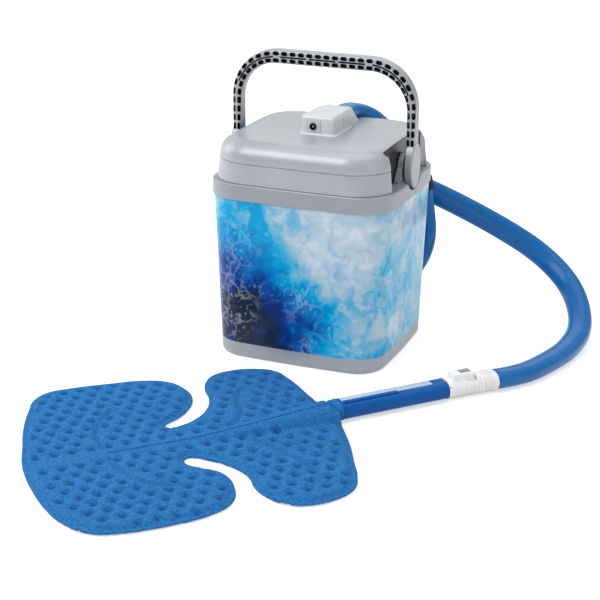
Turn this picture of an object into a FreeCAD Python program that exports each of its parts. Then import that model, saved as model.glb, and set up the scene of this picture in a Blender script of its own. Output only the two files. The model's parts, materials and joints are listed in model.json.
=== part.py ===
"""Hot and cold therapy machine: an ice-water cooler with a pump lid, a carrying bail,
an insulated twin-lumen hose, a quick-release coupling and a knee pad.

Units are millimetres. +X is the cooler's right, the front faces -Y, +Z is up, and the
origin is the centre of the cooler's base on the surface it stands on.
"""
import FreeCAD, Part

import math
import os

Vec = FreeCAD.Vector
X, Y, Z = Vec(1, 0, 0), Vec(0, 1, 0), Vec(0, 0, 1)
LEFT, RIGHT = -1, 1

# ---------------------------------------------------------------- cooler tub
face_bow = 3.3              # how far each moulded face bulges past its corners
neck_half_x, neck_half_y, neck_corner = 98.6, 88.9, 36.0   # outer wall under the rim
draft_x, draft_y, draft_corner = 5.7, 3.9, 3.0             # from there in to the skirt's top
base_half_x, base_half_y = neck_half_x - draft_x, neck_half_y - draft_y
base_corner = neck_corner - draft_corner
skirt_top_z = 17.5
skirt_edge_radius = 4.5
base_recess = 1.6
base_ring_width = 14.0
wrap_thickness = 0.7
shell_wall = 2.5
shell_floor = 3.0
foam_thickness = 17.0
liner_wall = 2.5
liner_floor_z = 21.0
liner_floor_radius = 7.0
fit_gap = 0.2               # between parts that are pushed together and do not move

# ---------------------------------------------------------------- rim collar and bail pivots
rim_overhang_x, rim_overhang_y = 1.4, 1.1           # past the neck
rim_half_x, rim_half_y, rim_corner = neck_half_x + rim_overhang_x, neck_half_y + rim_overhang_y, 36.0
rim_bottom_z = 179.3
rim_height = 17.2
rim_top_z = rim_bottom_z + rim_height
rim_wall = 3.0
rim_edge_radius = 2.2
pivot_rise = 15.5                               # over the rim's top
pivot_z = rim_top_z + pivot_rise
pivot_pin_diameter = 10.0
pivot_running_clearance = 0.03   # radial
post_inset, post_thickness = 11.8, 5.2          # in from the rim's side
post_inner_x = rim_half_x - post_inset
post_outer_x = post_inner_x + post_thickness
post_foot_half_width = 24.0
post_head_radius = 12.5
post_rib_width, post_rib_rise = 3.2, 6.0
ear_recess_x = post_outer_x + 2.4
ear_recess_clearance = 1.4

# ---------------------------------------------------------------- lid
lid_lift_gap = 0.5
band_half_x, band_half_y, band_corner = rim_half_x - 3.5, rim_half_y - 1.4, 41.0     # its lower edge
seam_half_x, seam_half_y, seam_corner = band_half_x - 1.5, band_half_y - 0.85, 45.0  # dome at the seam
band_height = 22.5                          # from the rim to the seam
seam_z = rim_top_z + band_height
seam_groove_height = 0.9
seam_groove_depth = 0.9
dome_height = 21.0
lid_top_z = seam_z + dome_height
dome_radius = 19.5
lid_wall = 2.6
notch_half_length = 57.5
notch_gap = 1.2                             # between the notch's wall and the bail's post
notch_wall_x = post_inner_x - notch_gap
notch_inner_radius = 12.0
plug_depth = 13.0
plug_clearance = 1.6
plug_wall = 2.4
plate_thickness = 2.4
gasket_width = 4.0
gasket_thickness = 1.0
foam_top_z = lid_top_z - 14.0
wire_hole_diameter, wire_hole_offset = 8.0, 10.0    # the motor leads' way up, ahead of the motor

# ---------------------------------------------------------------- pump under the lid
pump_x, pump_y = -2.0, 6.0
stem_diameter, stem_wall = 46.0, 2.4
stem_flange_diameter, stem_flange_thickness = stem_diameter + 4.0, 3.0
stem_bottom_z = 62.0
housing_height, housing_floor = 21.0, 4.0
chamber_wall, chamber_height = 7.5, 11.0
chamber_diameter = stem_diameter - 2 * chamber_wall
inlet_diameter = 11.0
strainer_height, strainer_wall = 10.0, 2.0
strainer_slot_count, strainer_slot_width, strainer_slot_height = 12, 3.0, 5.0
lumen_outer, lumen_wall = 8.0, 1.2         # the two water tubes inside the pump and the hose
lumen_spacing = 11.0
riser_gap = 0.3                            # between the supply riser and the stem or motor
supply_offset_y = stem_diameter / 2 - stem_wall - riser_gap - lumen_outer / 2     # riser, behind the motor
return_stem_gap = 0.68
return_offset_y = math.sqrt((stem_diameter / 2 + return_stem_gap + lumen_outer / 2) ** 2 - lumen_spacing ** 2)
lumen_elbow_radius = 6.0
return_spout_drop = 10.0
stem_rear_y = pump_y + stem_diameter / 2
boot_setback = 9.6                         # behind the return tube's upright
motor_diameter = 2 * (supply_offset_y - lumen_outer / 2 - riser_gap)
motor_length, motor_boss_gap = 34.0, 1.5
shaft_diameter, shaft_running_clearance = 4.0, 0.05
shaft_grip_in_motor = 12.0
shaft_seal_diameter, shaft_seal_thickness = 9.0, 2.4
impeller_tip_gap, impeller_disc_thickness = 2.5, 2.0
impeller_diameter = chamber_diameter - 2 * impeller_tip_gap
impeller_blade_count, impeller_blade_height, impeller_blade_thickness = 6, 5.5, 1.4
impeller_hub_diameter = 8.0

# ---------------------------------------------------------------- pump cover on the lid
cover_height = 20.5
cover_top_z = lid_top_z + cover_height
cover_left_x, cover_right_x = -17.5, 21.5
cover_front_y, cover_rear_y = -24.5, stem_rear_y + 31.0
cover_wall = 2.2
cover_edge_radius = 5.0
cover_main_rear_y = stem_rear_y - 3.0            # the full-width block ends here
cover_tail_side = 2.0             # step in of the narrower tail, each side
# upper end of the tail's sloping back
cover_tail_top_y, cover_tail_top_z = stem_rear_y + 7.0, cover_top_z - 1.2
plinth_margin = 2.5
plinth_height = 1.6
side_slit_length, side_slit_width, side_slit_depth = 10.0, 1.2, 1.2
side_slit_count, side_slit_pitch, side_slit_from_rear = 2, 16.0, 9.0
front_seam_width, front_seam_offset = 0.9, 1.2
jack_plate_width, jack_plate_height, jack_plate_thickness = 12.8, 12.8, 1.2
jack_x, jack_z = -2.8, lid_top_z + 8.9
jack_plate_corner = 1.5
jack_nut_diameter, jack_nut_length, jack_nut_chamfer = 8.0, 1.6, 0.4
jack_socket_diameter, jack_socket_depth = 5.6, 9.0
jack_body_diameter, jack_body_length = 7.0, 12.0
jack_pin_diameter, jack_pin_length = 2.0, 8.0

# ---------------------------------------------------------------- hose
hose_diameter = 22.0
arc_share = 0.45                           # of the shorter run, taken by each bend
boot_width, boot_height = 24.6, 14.4       # flattened end of the sleeve inside the cover
boot_tip_flat = 0.6                        # how much wider than round the tip still is
boot_start = Vec(2.0, pump_y + return_offset_y + boot_setback, lid_top_z + 8.0)
boot_straight = 24.0                       # from its start to where it begins to turn
# centre, heading, width and height of the boot's section halfway to its tip
boot_middle = (Vec(11.0, 84.0, 245.7), Vec(0.42, 0.80, -0.40), 25.0, 14.6)
# centreline corners, from the lid's boot to the coupling, chosen by hand
hose_points = [
    (22.0, 102.0, 232.0),
    (42.0, 120.0, 209.0),
    (68.0, 131.0, 176.0),
    (74.0, 134.0, 133.0),
    (83.0, 128.0, 87.0),
    (63.0, 122.0, 43.0),
    (14.0, 125.0, 11.2),
    (-57.0, 137.0, 12.0),
    (-104.0, 151.0, 67.0),
    (-92.0, 161.0, 137.0),
    (-30.0, 161.0, 175.0),
    (37.0, 152.0, 152.0),
    (84.0, 171.0, 130.0),
    (150.0, 184.0, 98.0),
    (203.0, 188.0, 69.0),
    (247.0, 165.0, 40.0),
    (271.0, 110.0, 20.0),
    (269.0, 56.0, 11.2),
    (255.0, 3.0, 11.2),
    (237.7, -39.58, 11.2),
    (215.0, -63.5, 11.2),
]
strap_width, strap_thickness = 20.0, 1.8
strap_clearance = 0.6
strap_run = 2                              # the run of the hose that carries the strap

# ---------------------------------------------------------------- coupling
coupling_end = Vec(*hose_points[-1])       # where the hose enters it
coupling_heading = 226.5                   # degrees from +X towards +Y, pointing to the pad
coupling_width, coupling_height = 27.0, 20.0
socket_length, socket_lip, plug_length = 21.0, 6.0, 36.5
coupling_split = 0.4
rib_pitch, rib_gap, rib_depth = 3.0, 1.3, 0.9
port_diameter, port_clearance, port_length = 7.0, 0.15, 13.0
spigot_wall = 1.5
seal_ring_width, seal_groove_depth, seal_from_tip, seal_running_clearance = 1.2, 0.8, 3.5, 0.05
latch_block_start, latch_block_length, latch_block_width = 6.0, 23.0, 15.0
latch_block_height, latch_block_radius = 5.6, 1.4          # height above the coupling's body
latch_button_length, latch_button_width, latch_button_height = 13.5, 8.0, 4.0
latch_button_clearance, latch_button_sink, latch_button_radius = 0.35, 0.5, 0.8
latch_travel = 1.5
latch_well_z = 5.0                         # floor under the button, above the coupling's axis
catch_slot_width, catch_slot_depth, catch_slot_lead, catch_slot_length = 2.2, 4.0, 1.2, 12.0
spring_wire, spring_radius, spring_turns = 0.8, 2.4, 4

# ---------------------------------------------------------------- pad and its tube
sleeve_width, sleeve_height = 26.0, 17.0
collar_end = Vec(91.92, -196.08, 10.5)     # where the sleeve meets the pad
sleeve_overlap = 4.0                       # of the sleeve inside the coupling's plug
sleeve_straight = 4.0                      # of the sleeve past the plug before it turns to the pad
seat_gap = 0.1
label_width, label_thickness = 9.0, 0.6
label_start, label_length = 11.0, 95.0
cuff_length, cuff_side_wall, cuff_top_wall, cuff_gap = 6.0, 2.2, 1.7, 0.15
pad_origin = Vec(92.0, -196.0, 0.0)
pad_heading = 225.0                        # degrees, along the centre ridge
pad_thickness = 9.0
# outline corners in the pad's own frame: along the ridge, across it, corner radius
pad_outline = [
    (0.8, -14.0, 3.0), (11.0, -150.0, 36.0), (98.0, -150.0, 32.0), (102.0, -62.0, 40.0),
    (168.0, -35.0, 5.0), (165.0, -48.5, 5.0), (116.0, -78.0, 34.0), (115.0, -157.0, 34.0),
    (264.0, -169.0, 26.0), (303.0, -45.0, 110.0), (318.0, 30.0, 60.0), (301.0, 145.0, 44.0),
    (146.0, 145.0, 36.0), (143.0, 60.0, 32.0), (173.0, 41.0, 5.0), (165.0, 27.0, 5.0),
    (127.0, 60.0, 36.0), (127.0, 160.0, 32.0), (41.0, 160.0, 34.0), (0.8, 14.0, 3.0),
]

# ---------------------------------------------------------------- bail
bail_depth = 16.0
bail_leg_inset, bail_leg_width = 5.7, 9.9     # in from the rim's side
bail_leg_inner_x = rim_half_x - bail_leg_inset
bail_leg_outer_x = bail_leg_inner_x + bail_leg_width
bail_bar_rise, bail_bar_height = 96.5, 14.5   # over the pivots
bail_bar_bottom_z = pivot_z + bail_bar_rise
bail_bar_top_z = bail_bar_bottom_z + bail_bar_height
bail_inner_radius, bail_outer_radius = 41.0, 52.0
bail_edge_radius = 3.6
ear_half_width, ear_half_height = 15.0, 25.0
ear_gap, ear_thickness = 3.2, 8.0           # the gap is to the post
ear_inner_x = post_outer_x + ear_gap
ear_outer_x = ear_inner_x + ear_thickness
ear_edge_radius = 1.6
pocket_pitch, pocket_length, pocket_depth = 9.6, 7.5, 6.0
pocket_width_leg, pocket_width_bar = 3.4, 4.4
row_offset_leg, row_offset_bar = 2.2, 3.6
pocket_first_z = pivot_z + 20.0
slot_count, slot_width, slot_gap, slot_end_gap, slot_depth = 3, 1.9, 3.0, 4.75, 5.0
corner_slot_angles = (86.0, 54.0, 22.0)    # degrees round the bail's corner, from the bar down

# ---------------------------------------------------------------- screws
lid_screw_inset = 16.0
screw_diameter, screw_head_diameter, screw_head_height, screw_length = 3.5, 7.0, 2.0, 12.0
screw_boss_diameter, screw_pilot_clearance = 8.0, 0.02


# ================================================================ geometry helpers
class Section:
    """A horizontal section of the cooler: a rounded rectangle with bowed sides."""

    def __init__(self, half_x, half_y, corner, z):
        self.half_x, self.half_y, self.corner, self.z = half_x, half_y, corner, z

    def inset(self, distance):
        return Section(self.half_x - distance, self.half_y - distance, self.corner - distance, self.z)

    def at(self, z):
        return Section(self.half_x, self.half_y, self.corner, z)

    def wire(self):
        """Four side arcs and four corner arcs, tangent where they meet."""
        hx, hy, corner, z = self.half_x + face_bow, self.half_y + face_bow, self.corner, self.z
        side_radius = (self.half_y ** 2 + face_bow ** 2) / (2 * face_bow)
        front_radius = (self.half_x ** 2 + face_bow ** 2) / (2 * face_bow)
        cx, cy = self.half_x - corner, self.half_y - corner
        for _ in range(12):
            cx = hx - side_radius + math.sqrt((side_radius - corner) ** 2 - cy ** 2)
            cy = hy - front_radius + math.sqrt((front_radius - corner) ** 2 - cx ** 2)
        side_angle = math.atan2(cy, cx - (hx - side_radius))
        front_angle = math.atan2(cy - (hy - front_radius), cx)
        middle = (side_angle + front_angle) / 2

        def on_corner(angle, sx, sy):
            return Vec(sx * (cx + corner * math.cos(angle)), sy * (cy + corner * math.sin(angle)), z)

        edges = []
        for sx, sy, side_first in ((1, 1, True), (-1, 1, False), (-1, -1, True), (1, -1, False)):
            first, last = (side_angle, front_angle) if side_first else (front_angle, side_angle)
            start, end = on_corner(first, sx, sy), on_corner(last, sx, sy)
            edges.append(Part.Arc(start, on_corner(middle, sx, sy), end).toShape())
            if side_first:
                far = on_corner(front_angle, -sx, sy)
                edges.append(Part.Arc(end, Vec(0, sy * hy, z), far).toShape())
            else:
                far = on_corner(side_angle, sx, -sy)
                edges.append(Part.Arc(end, Vec(sx * hx, 0, z), far).toShape())
        return Part.Wire(edges)


def taper(lower, upper):
    """Solid between two sections."""
    return Part.makeLoft([lower.wire(), upper.wire()], True, True)


def straight(section, z0, z1):
    """Solid of one section from z0 to z1."""
    return Part.Face(section.at(z0).wire()).extrude(Z * (z1 - z0))


def wall_section(z):
    """Outer wall of the tub at height z, between the skirt and the neck."""
    share = (z - skirt_top_z) / (rim_bottom_z - skirt_top_z)
    return Section(base_half_x + share * (neck_half_x - base_half_x),
                   base_half_y + share * (neck_half_y - base_half_y),
                   base_corner + share * (neck_corner - base_corner), z)


def wall_solid(inset, z0, z1):
    """The tub's tapered outer form, inset evenly, between two heights."""
    return taper(wall_section(z0).inset(inset), wall_section(z1).inset(inset))


def cylinder(diameter, length, base, axis=Z):
    return Part.makeCylinder(diameter / 2, length, base, axis)


def tube(diameter, wall, length, base, axis=Z):
    return cylinder(diameter, length, base, axis).cut(cylinder(diameter - 2 * wall, length, base, axis))


def box(x0, x1, y0, y1, z0, z1):
    return Part.makeBox(x1 - x0, y1 - y0, z1 - z0, Vec(x0, y0, z0))


def rounded_box(x0, x1, y0, y1, z0, z1, radius, axis=Z):
    """Box whose four edges along one axis are rounded."""
    solid = box(x0, x1, y0, y1, z0, z1)
    return solid.makeFillet(radius, edges_along(solid, axis))


def edges_along(solid, axis):
    """Straight edges of a solid that run along an axis."""
    chosen = []
    for edge in solid.Edges:
        if isinstance(edge.Curve, (Part.Line, Part.LineSegment)):
            direction = edge.lastVertex().Point - edge.firstVertex().Point
            if abs(direction.normalize().dot(axis)) > 0.999:
                chosen.append(edge)
    return chosen


def edges_at(solid, z, tolerance=0.01):
    """Edges of a solid that lie wholly at one height."""
    return [e for e in solid.Edges
            if abs(e.BoundBox.ZMin - z) < tolerance and abs(e.BoundBox.ZMax - z) < tolerance]


def fuse_all(solids):
    return solids[0].multiFuse(solids[1:]).removeSplitter() if len(solids) > 1 else solids[0]


def mirrored_x(solid):
    return solid.mirror(Vec(0, 0, 0), X)


def corner_arc(before, corner, after, radius):
    """Ends and middle of the arc that rounds a corner, and its tangent length."""
    to_before = (before - corner).normalize()
    to_after = (after - corner).normalize()
    half_turn = (math.pi - to_before.getAngle(to_after)) / 2
    reach = radius * math.tan(half_turn)
    start, end = corner + to_before * reach, corner + to_after * reach
    inward = (to_before + to_after).normalize()
    middle = corner + inward * (radius / math.cos(half_turn) - radius)
    return start, middle, end


def rounded_outline(corners):
    """Closed wire of lines and tangent arcs through (point, radius) corners."""
    arcs = []
    count = len(corners)
    for i, (point, radius) in enumerate(corners):
        arcs.append(corner_arc(corners[i - 1][0], point, corners[(i + 1) % count][0], radius))
    edges = []
    for i, (start, middle, end) in enumerate(arcs):
        edges.append(Part.Arc(start, middle, end).toShape())
        next_start = arcs[(i + 1) % count][0]
        if (next_start - end).Length > 1e-6:
            edges.append(Part.LineSegment(end, next_start).toShape())
    return Part.Wire(edges)


def bent_path(points, largest=math.inf):
    """Open wire: straight runs joined by the largest tangent arcs that the runs and a limit allow."""
    points = [Vec(*p) for p in points]
    edges, radii = [], []
    last = points[0]
    for before, corner, after in zip(points, points[1:], points[2:]):
        shorter = min((corner - before).Length, (after - corner).Length)
        half_turn = (corner - before).getAngle(after - corner) / 2
        radius = min(largest, arc_share * shorter / math.tan(half_turn))
        start, middle, end = corner_arc(before, corner, after, radius)
        edges.append(Part.LineSegment(last, start).toShape())
        edges.append(Part.Arc(start, middle, end).toShape())
        radii.append(radius)
        last = end
    edges.append(Part.LineSegment(last, points[-1]).toShape())
    return Part.Wire(edges), radii


def round_tube(points, diameter, largest=math.inf):
    """Solid round tube along a bent path, with the path's length and bend radii."""
    path, radii = bent_path(points, largest)
    start = Vec(*points[0])
    heading = (Vec(*points[1]) - start).normalize()
    profile = Part.Wire([Part.Circle(start, heading, diameter / 2).toShape()])
    return path.makePipeShell([profile], True, False), path.Length, radii


def stadium_face(width, height, centre, across, up):
    """Flat-oval face centred on a point, with its long side across."""
    flat, radius = (width - height) / 2, height / 2
    corners = [centre + across * (sx * flat) + up * (sz * radius)
               for sx, sz in ((-1, -1), (1, -1), (1, 1), (-1, 1))]
    edges = [Part.LineSegment(corners[0], corners[1]).toShape(),
             Part.Arc(corners[1], centre + across * (width / 2), corners[2]).toShape(),
             Part.LineSegment(corners[2], corners[3]).toShape(),
             Part.Arc(corners[3], centre - across * (width / 2), corners[0]).toShape()]
    return Part.Face(Part.Wire(edges))


# ================================================================ tub
def make_outer_shell():
    """Blow-moulded shell: skirt, recessed label panel and closed base with a ring foot."""
    skirt = taper(wall_section(0), wall_section(skirt_top_z))
    skirt = skirt.makeFillet(skirt_edge_radius, edges_at(skirt, 0))
    panel = wall_solid(wrap_thickness, skirt_top_z, rim_bottom_z)
    cavity = wall_solid(wrap_thickness + shell_wall, shell_floor + base_recess, rim_bottom_z + 1)
    recess = straight(wall_section(0).inset(base_ring_width), -1, base_recess)
    return fuse_all([skirt, panel]).cut(cavity).cut(recess)


def make_wrap_sleeve():
    """Thin printed sleeve in the shell's recessed panel."""
    outer = wall_solid(0, skirt_top_z, rim_bottom_z)
    inner = wall_solid(wrap_thickness, skirt_top_z, rim_bottom_z)
    return outer.cut(inner)


def liner_outer_inset():
    return wrap_thickness + shell_wall + foam_thickness + 2 * fit_gap


def liner_inner_inset():
    return liner_outer_inset() + liner_wall


def make_foam_jacket():
    """Insulation poured between the shell and the liner."""
    floor = shell_floor + base_recess + fit_gap
    outer = wall_solid(wrap_thickness + shell_wall + fit_gap, floor, rim_bottom_z)
    hollow = wall_solid(liner_outer_inset() - fit_gap, liner_floor_z - liner_wall - fit_gap, rim_bottom_z + 1)
    return outer.cut(hollow)


def make_liner():
    """Ice and water bucket, open at the top."""
    outer = wall_solid(liner_outer_inset(), liner_floor_z - liner_wall, rim_top_z)
    bucket = wall_solid(liner_inner_inset(), liner_floor_z, rim_top_z + 1)
    bucket = bucket.makeFillet(liner_floor_radius, edges_at(bucket, liner_floor_z))
    return outer.cut(bucket)


def post_blank():
    """Bail post on the right: a plate with sloping flanks and a round head."""
    spread = post_foot_half_width
    head = post_head_radius
    foot = rim_top_z - rim_wall
    profile = Part.makePolygon([Vec(post_inner_x, y, z) for y, z in
                                ((-spread, foot), (spread, foot), (spread, rim_top_z + 2), (head, pivot_z),
                                 (-head, pivot_z), (-spread, rim_top_z + 2), (-spread, foot))])
    plate = Part.Face(profile).extrude(X * (post_outer_x - post_inner_x))
    round_head = cylinder(2 * head, post_outer_x - post_inner_x, Vec(post_inner_x, 0, pivot_z), X)
    post = fuse_all([plate, round_head])
    for y in (-head - 3, head + 3):
        rib = box(post_outer_x - 0.5, post_outer_x + 1.0, y - post_rib_width / 2, y + post_rib_width / 2,
                  foot, rim_top_z + post_rib_rise)
        post = post.fuse(rib)
    bore = pivot_pin_diameter + 2 * pivot_running_clearance
    return post.cut(cylinder(bore, 2 * rim_corner, Vec(post_inner_x - 5, 0, pivot_z), X))


def ear_recess():
    """Round clearance cut for the right ear as the bail turns."""
    radius = ear_half_height + ear_recess_clearance
    return cylinder(2 * radius, 30, Vec(ear_recess_x, 0, pivot_z), X)


def make_rim_collar():
    """Deep rim that caps the tub: a channel section with the two bail posts."""
    outer = Section(rim_half_x, rim_half_y, rim_corner, rim_bottom_z)
    blank = straight(outer, rim_bottom_z, rim_top_z)
    blank = blank.makeFillet(rim_edge_radius, edges_at(blank, rim_top_z))
    mouth = wall_solid(liner_outer_inset() - fit_gap, rim_bottom_z - 1, rim_top_z + 1)
    channel_top = rim_top_z - rim_wall
    channel = straight(outer.inset(rim_wall), rim_bottom_z - 1, channel_top)
    channel = channel.cut(wall_solid(liner_outer_inset() - fit_gap - rim_wall, rim_bottom_z - 2, rim_top_z))
    pier_half = post_foot_half_width + 4
    for side in (LEFT, RIGHT):
        x0, x1 = sorted((side * post_inner_x, side * (rim_half_x + 10)))
        channel = channel.cut(box(x0, x1, -pier_half, pier_half, rim_bottom_z - 2, rim_top_z))
    post = post_blank()
    collar = fuse_all([blank.cut(mouth).cut(channel), post, mirrored_x(post)])
    recess = ear_recess()
    return collar.cut(recess).cut(mirrored_x(recess))


# ================================================================ lid
def notch_tool(margin=0.0):
    """Side notch of the lid, on the right, grown by a wall where margin is given."""
    length = notch_half_length + margin
    tool = box(notch_wall_x - margin, rim_half_x + 30, -length, length, rim_top_z - 20, lid_top_z + 5)
    inner = [e for e in edges_along(tool, Z) if abs(e.BoundBox.XMin - (notch_wall_x - margin)) < 0.01]
    return tool.makeFillet(notch_inner_radius, inner)


def both_notches(margin=0.0):
    tool = notch_tool(margin)
    return [tool, mirrored_x(tool)]


def seam_section(z):
    return Section(seam_half_x, seam_half_y, seam_corner, z)


def band_section(z):
    return Section(band_half_x, band_half_y, band_corner, z)


def lid_form(inset, bottom_z, groove):
    """The lid's outer form inset evenly: band, seam groove and soft dome."""
    groove_z = seam_z - seam_groove_height
    band = taper(band_section(bottom_z).inset(inset), seam_section(groove_z).inset(inset))
    dome = straight(seam_section(seam_z).inset(inset), groove_z if not groove else seam_z, lid_top_z - inset)
    dome = dome.makeFillet(dome_radius - inset, edges_at(dome, lid_top_z - inset))
    if not groove:
        return fuse_all([band, dome])
    neck = straight(seam_section(seam_z).inset(inset + seam_groove_depth), groove_z, seam_z)
    return fuse_all([band, neck, dome])


def band_bottom_z():
    return rim_top_z + lid_lift_gap


def tube_stations():
    """Plan positions of the supply riser and the return tube through the lid."""
    return (pump_x, pump_y + supply_offset_y), (pump_x + lumen_spacing, pump_y + return_offset_y)


def lumen_holes(z0, z1):
    """Clearance holes for the two tubes through the lid's layers."""
    return [cylinder(lumen_outer + 2 * fit_gap, z1 - z0, Vec(x, y, z0)) for x, y in tube_stations()]


def make_lid_top():
    """Moulded lid shell: band, seam line, dome and a notch on each side for the bail."""
    shell = lid_form(0, band_bottom_z(), True)
    cavity = lid_form(lid_wall, band_bottom_z() - 1, False)
    for tool in both_notches(lid_wall):
        cavity = cavity.cut(tool)
    shell = shell.cut(cavity)
    for tool in both_notches() + lumen_holes(lid_top_z - 2 * lid_wall, lid_top_z + 1):
        shell = shell.cut(tool)
    wire_hole = cylinder(wire_hole_diameter, 3 * lid_wall,
                         Vec(pump_x, pump_y - wire_hole_offset, lid_top_z - 2 * lid_wall))
    boss_foot = plug_floor_top_z()
    bosses = [cylinder(screw_boss_diameter, lid_top_z - lid_wall / 2 - boss_foot, Vec(x, y, boss_foot))
              for x, y in lid_screw_stations()]
    shell = fuse_all([shell.cut(wire_hole)] + bosses)
    pilot_diameter = screw_diameter + 2 * screw_pilot_clearance
    for pilot in lid_screw_tools(pilot_diameter, plug_bottom_z(), screw_length + 1):
        shell = shell.cut(pilot)
    return shell


def plug_section(z):
    """The lid's plug, a loose fit in the liner's mouth."""
    return wall_section(rim_top_z).inset(liner_inner_inset() + plug_clearance).at(z)


def plug_bottom_z():
    return rim_top_z - plug_depth


def plug_floor_top_z():
    return plug_bottom_z() + plug_wall + fit_gap


def plate_bottom_z():
    return rim_top_z + gasket_thickness + 2 * fit_gap - 0.1


def make_lid_underside():
    """Inner cover of the lid: a plate between the notches' walls and a hollow plug below it."""
    plate_z = plate_bottom_z()
    plate = straight(band_section(plate_z).inset(lid_wall + 3 * fit_gap), plate_z, plate_z + plate_thickness)
    reach_x = notch_wall_x - lid_wall - fit_gap
    plate = plate.common(box(-reach_x, reach_x, -rim_half_y, rim_half_y, plate_z, lid_top_z))
    plug = straight(plug_section(plate_z), plug_bottom_z(), plate_z + plate_thickness)
    pocket = straight(plug_section(plate_z).inset(plug_wall), plug_bottom_z() + plug_wall, plate_z + 10)
    cover = fuse_all([plate, plug]).cut(pocket)
    holes = lumen_holes(plug_bottom_z() - 1, plug_bottom_z() + 2 * plug_wall)
    holes += lid_screw_tools(screw_diameter + 2 * fit_gap, plug_bottom_z() - 1, 2 * plug_wall)
    for hole in holes:
        cover = cover.cut(hole)
    return cover


def make_lid_foam():
    """Insulation slab between the lid's two covers."""
    section = plug_section(0).inset(plug_wall + fit_gap)
    slab = straight(section, plug_floor_top_z(), foam_top_z)
    holes = lumen_holes(plug_bottom_z(), foam_top_z + 1)
    holes += lid_screw_tools(screw_boss_diameter + 2 * fit_gap, plug_bottom_z(), lid_top_z - plug_bottom_z())
    for hole in holes:
        slab = slab.cut(hole)
    return slab


def make_lid_gasket():
    """Soft square ring under the plate that closes on the tub's rim."""
    z0 = plate_bottom_z() - fit_gap - gasket_thickness + 0.2
    outer = plug_section(z0).inset(-plug_clearance - gasket_width)
    inner = plug_section(z0).inset(-fit_gap)
    return straight(outer, z0, plate_bottom_z()).cut(straight(inner, z0 - 1, plate_bottom_z() + 1))


def lid_screw_stations():
    section = plug_section(0)
    x, y = section.half_x - lid_screw_inset, section.half_y - lid_screw_inset
    return [(sx * x, sy * y) for sx in (LEFT, RIGHT) for sy in (-1, 1)]


def lid_screw_tools(diameter, bottom, length):
    return [cylinder(diameter, length, Vec(x, y, bottom)) for x, y in lid_screw_stations()]


def make_lid_screws():
    """Four screws that hold the underside to the lid's bosses, heads under the plug."""
    screws = []
    bottom = plug_bottom_z() - screw_head_height
    for head, shank in zip(lid_screw_tools(screw_head_diameter, bottom, screw_head_height),
                           lid_screw_tools(screw_diameter, bottom, screw_length)):
        head = head.makeChamfer(screw_head_height / 3, edges_at(head, bottom))
        screws.append(fuse_all([head, shank]))
    return Part.makeCompound(screws)


# ================================================================ pump cover and jack
def cover_block(x0, x1, y0, y1, top, radius):
    """Block with round upright corners and a soft top edge."""
    block = rounded_box(x0, x1, y0, y1, lid_top_z, top, radius, Z)
    return block.makeFillet(radius - 0.6, edges_at(block, top))


def cover_tail(inset, radius):
    """Narrower rear part of the cover, with the sloping back that the hose comes out of."""
    top = cover_tail_top_z - inset
    rise, run = cover_tail_top_z - lid_top_z, cover_rear_y - cover_tail_top_y
    foot_y = cover_rear_y - inset * math.hypot(rise, run) / rise
    crest_y = foot_y - (top - lid_top_z) * run / rise
    front_y = cover_main_rear_y - 4 * cover_edge_radius
    profile = [(front_y, lid_top_z), (foot_y, lid_top_z), (crest_y, top), (front_y, top)]
    x0, x1 = cover_left_x + cover_tail_side + inset, cover_right_x - cover_tail_side - inset
    points = [Vec(x0, y, z) for y, z in profile + profile[:1]]
    tail = Part.Face(Part.makePolygon(points)).extrude(X * (x1 - x0))
    kept = [e for e in tail.Edges if e.BoundBox.YMin > front_y + 0.01 and e.BoundBox.ZMax > lid_top_z + 0.01]
    rims = [e for e in tail.Edges if e.BoundBox.ZMin > top - 0.01 and e.BoundBox.YLength > 0.01]
    return tail.makeFillet(radius, kept + rims)


def cover_form(inset):
    """Pump cover's outer form inset evenly: a long block with a lower, sloping tail."""
    radius = max(cover_edge_radius - inset, 1.2)
    main = cover_block(cover_left_x + inset, cover_right_x - inset, cover_front_y + inset,
                       cover_main_rear_y - inset, cover_top_z - inset, radius)
    return fuse_all([main, cover_tail(inset, radius)])


def cover_plinth():
    """Low stepped foot round the cover's main block."""
    plinth = rounded_box(cover_left_x - plinth_margin, cover_right_x + plinth_margin,
                         cover_front_y - plinth_margin, cover_main_rear_y + plinth_margin,
                         lid_top_z, lid_top_z + plinth_height, cover_edge_radius + plinth_margin, Z)
    return plinth.makeChamfer(plinth_height * 0.8, edges_at(plinth, lid_top_z + plinth_height))


def make_pump_cover():
    """Housing on the lid over the pump's leads and tubes, with the jack's seat at the front."""
    cover = fuse_all([cover_form(0), cover_plinth()]).cut(cover_form(cover_wall))
    slit_z = lid_top_z + cover_edge_radius
    for i in range(side_slit_count):
        y = cover_main_rear_y - side_slit_from_rear - i * side_slit_pitch
        cover = cover.cut(box(cover_right_x - side_slit_depth, cover_right_x + 1, y, y + side_slit_width,
                              slit_z, slit_z + side_slit_length))
    seam_x = jack_x + jack_plate_width / 2 + front_seam_offset
    cover = cover.cut(box(seam_x, seam_x + front_seam_width, cover_front_y - 1, cover_front_y + 1,
                          lid_top_z + plinth_height + 1, cover_top_z - cover_edge_radius))
    cover = cover.cut(jack_plate_blank(fit_gap))
    cover = cover.cut(cylinder(jack_body_diameter + 2 * fit_gap, 4 * cover_wall,
                               Vec(jack_x, cover_front_y - 1, jack_z), Y))
    mouth = stadium_face(boot_width + 2 * fit_gap, boot_height + 2 * fit_gap, boot_start - Y, X, Z)
    return cover.cut(mouth.extrude(Y * (cover_rear_y - boot_start.y + 2)))


def jack_plate_blank(gap=0.0):
    half = jack_plate_width / 2 + gap
    rise = jack_plate_height / 2 + gap
    return rounded_box(jack_x - half, jack_x + half, cover_front_y - gap,
                       cover_front_y + jack_plate_thickness + gap,
                       jack_z - rise, jack_z + rise, jack_plate_corner, Y)


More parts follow.
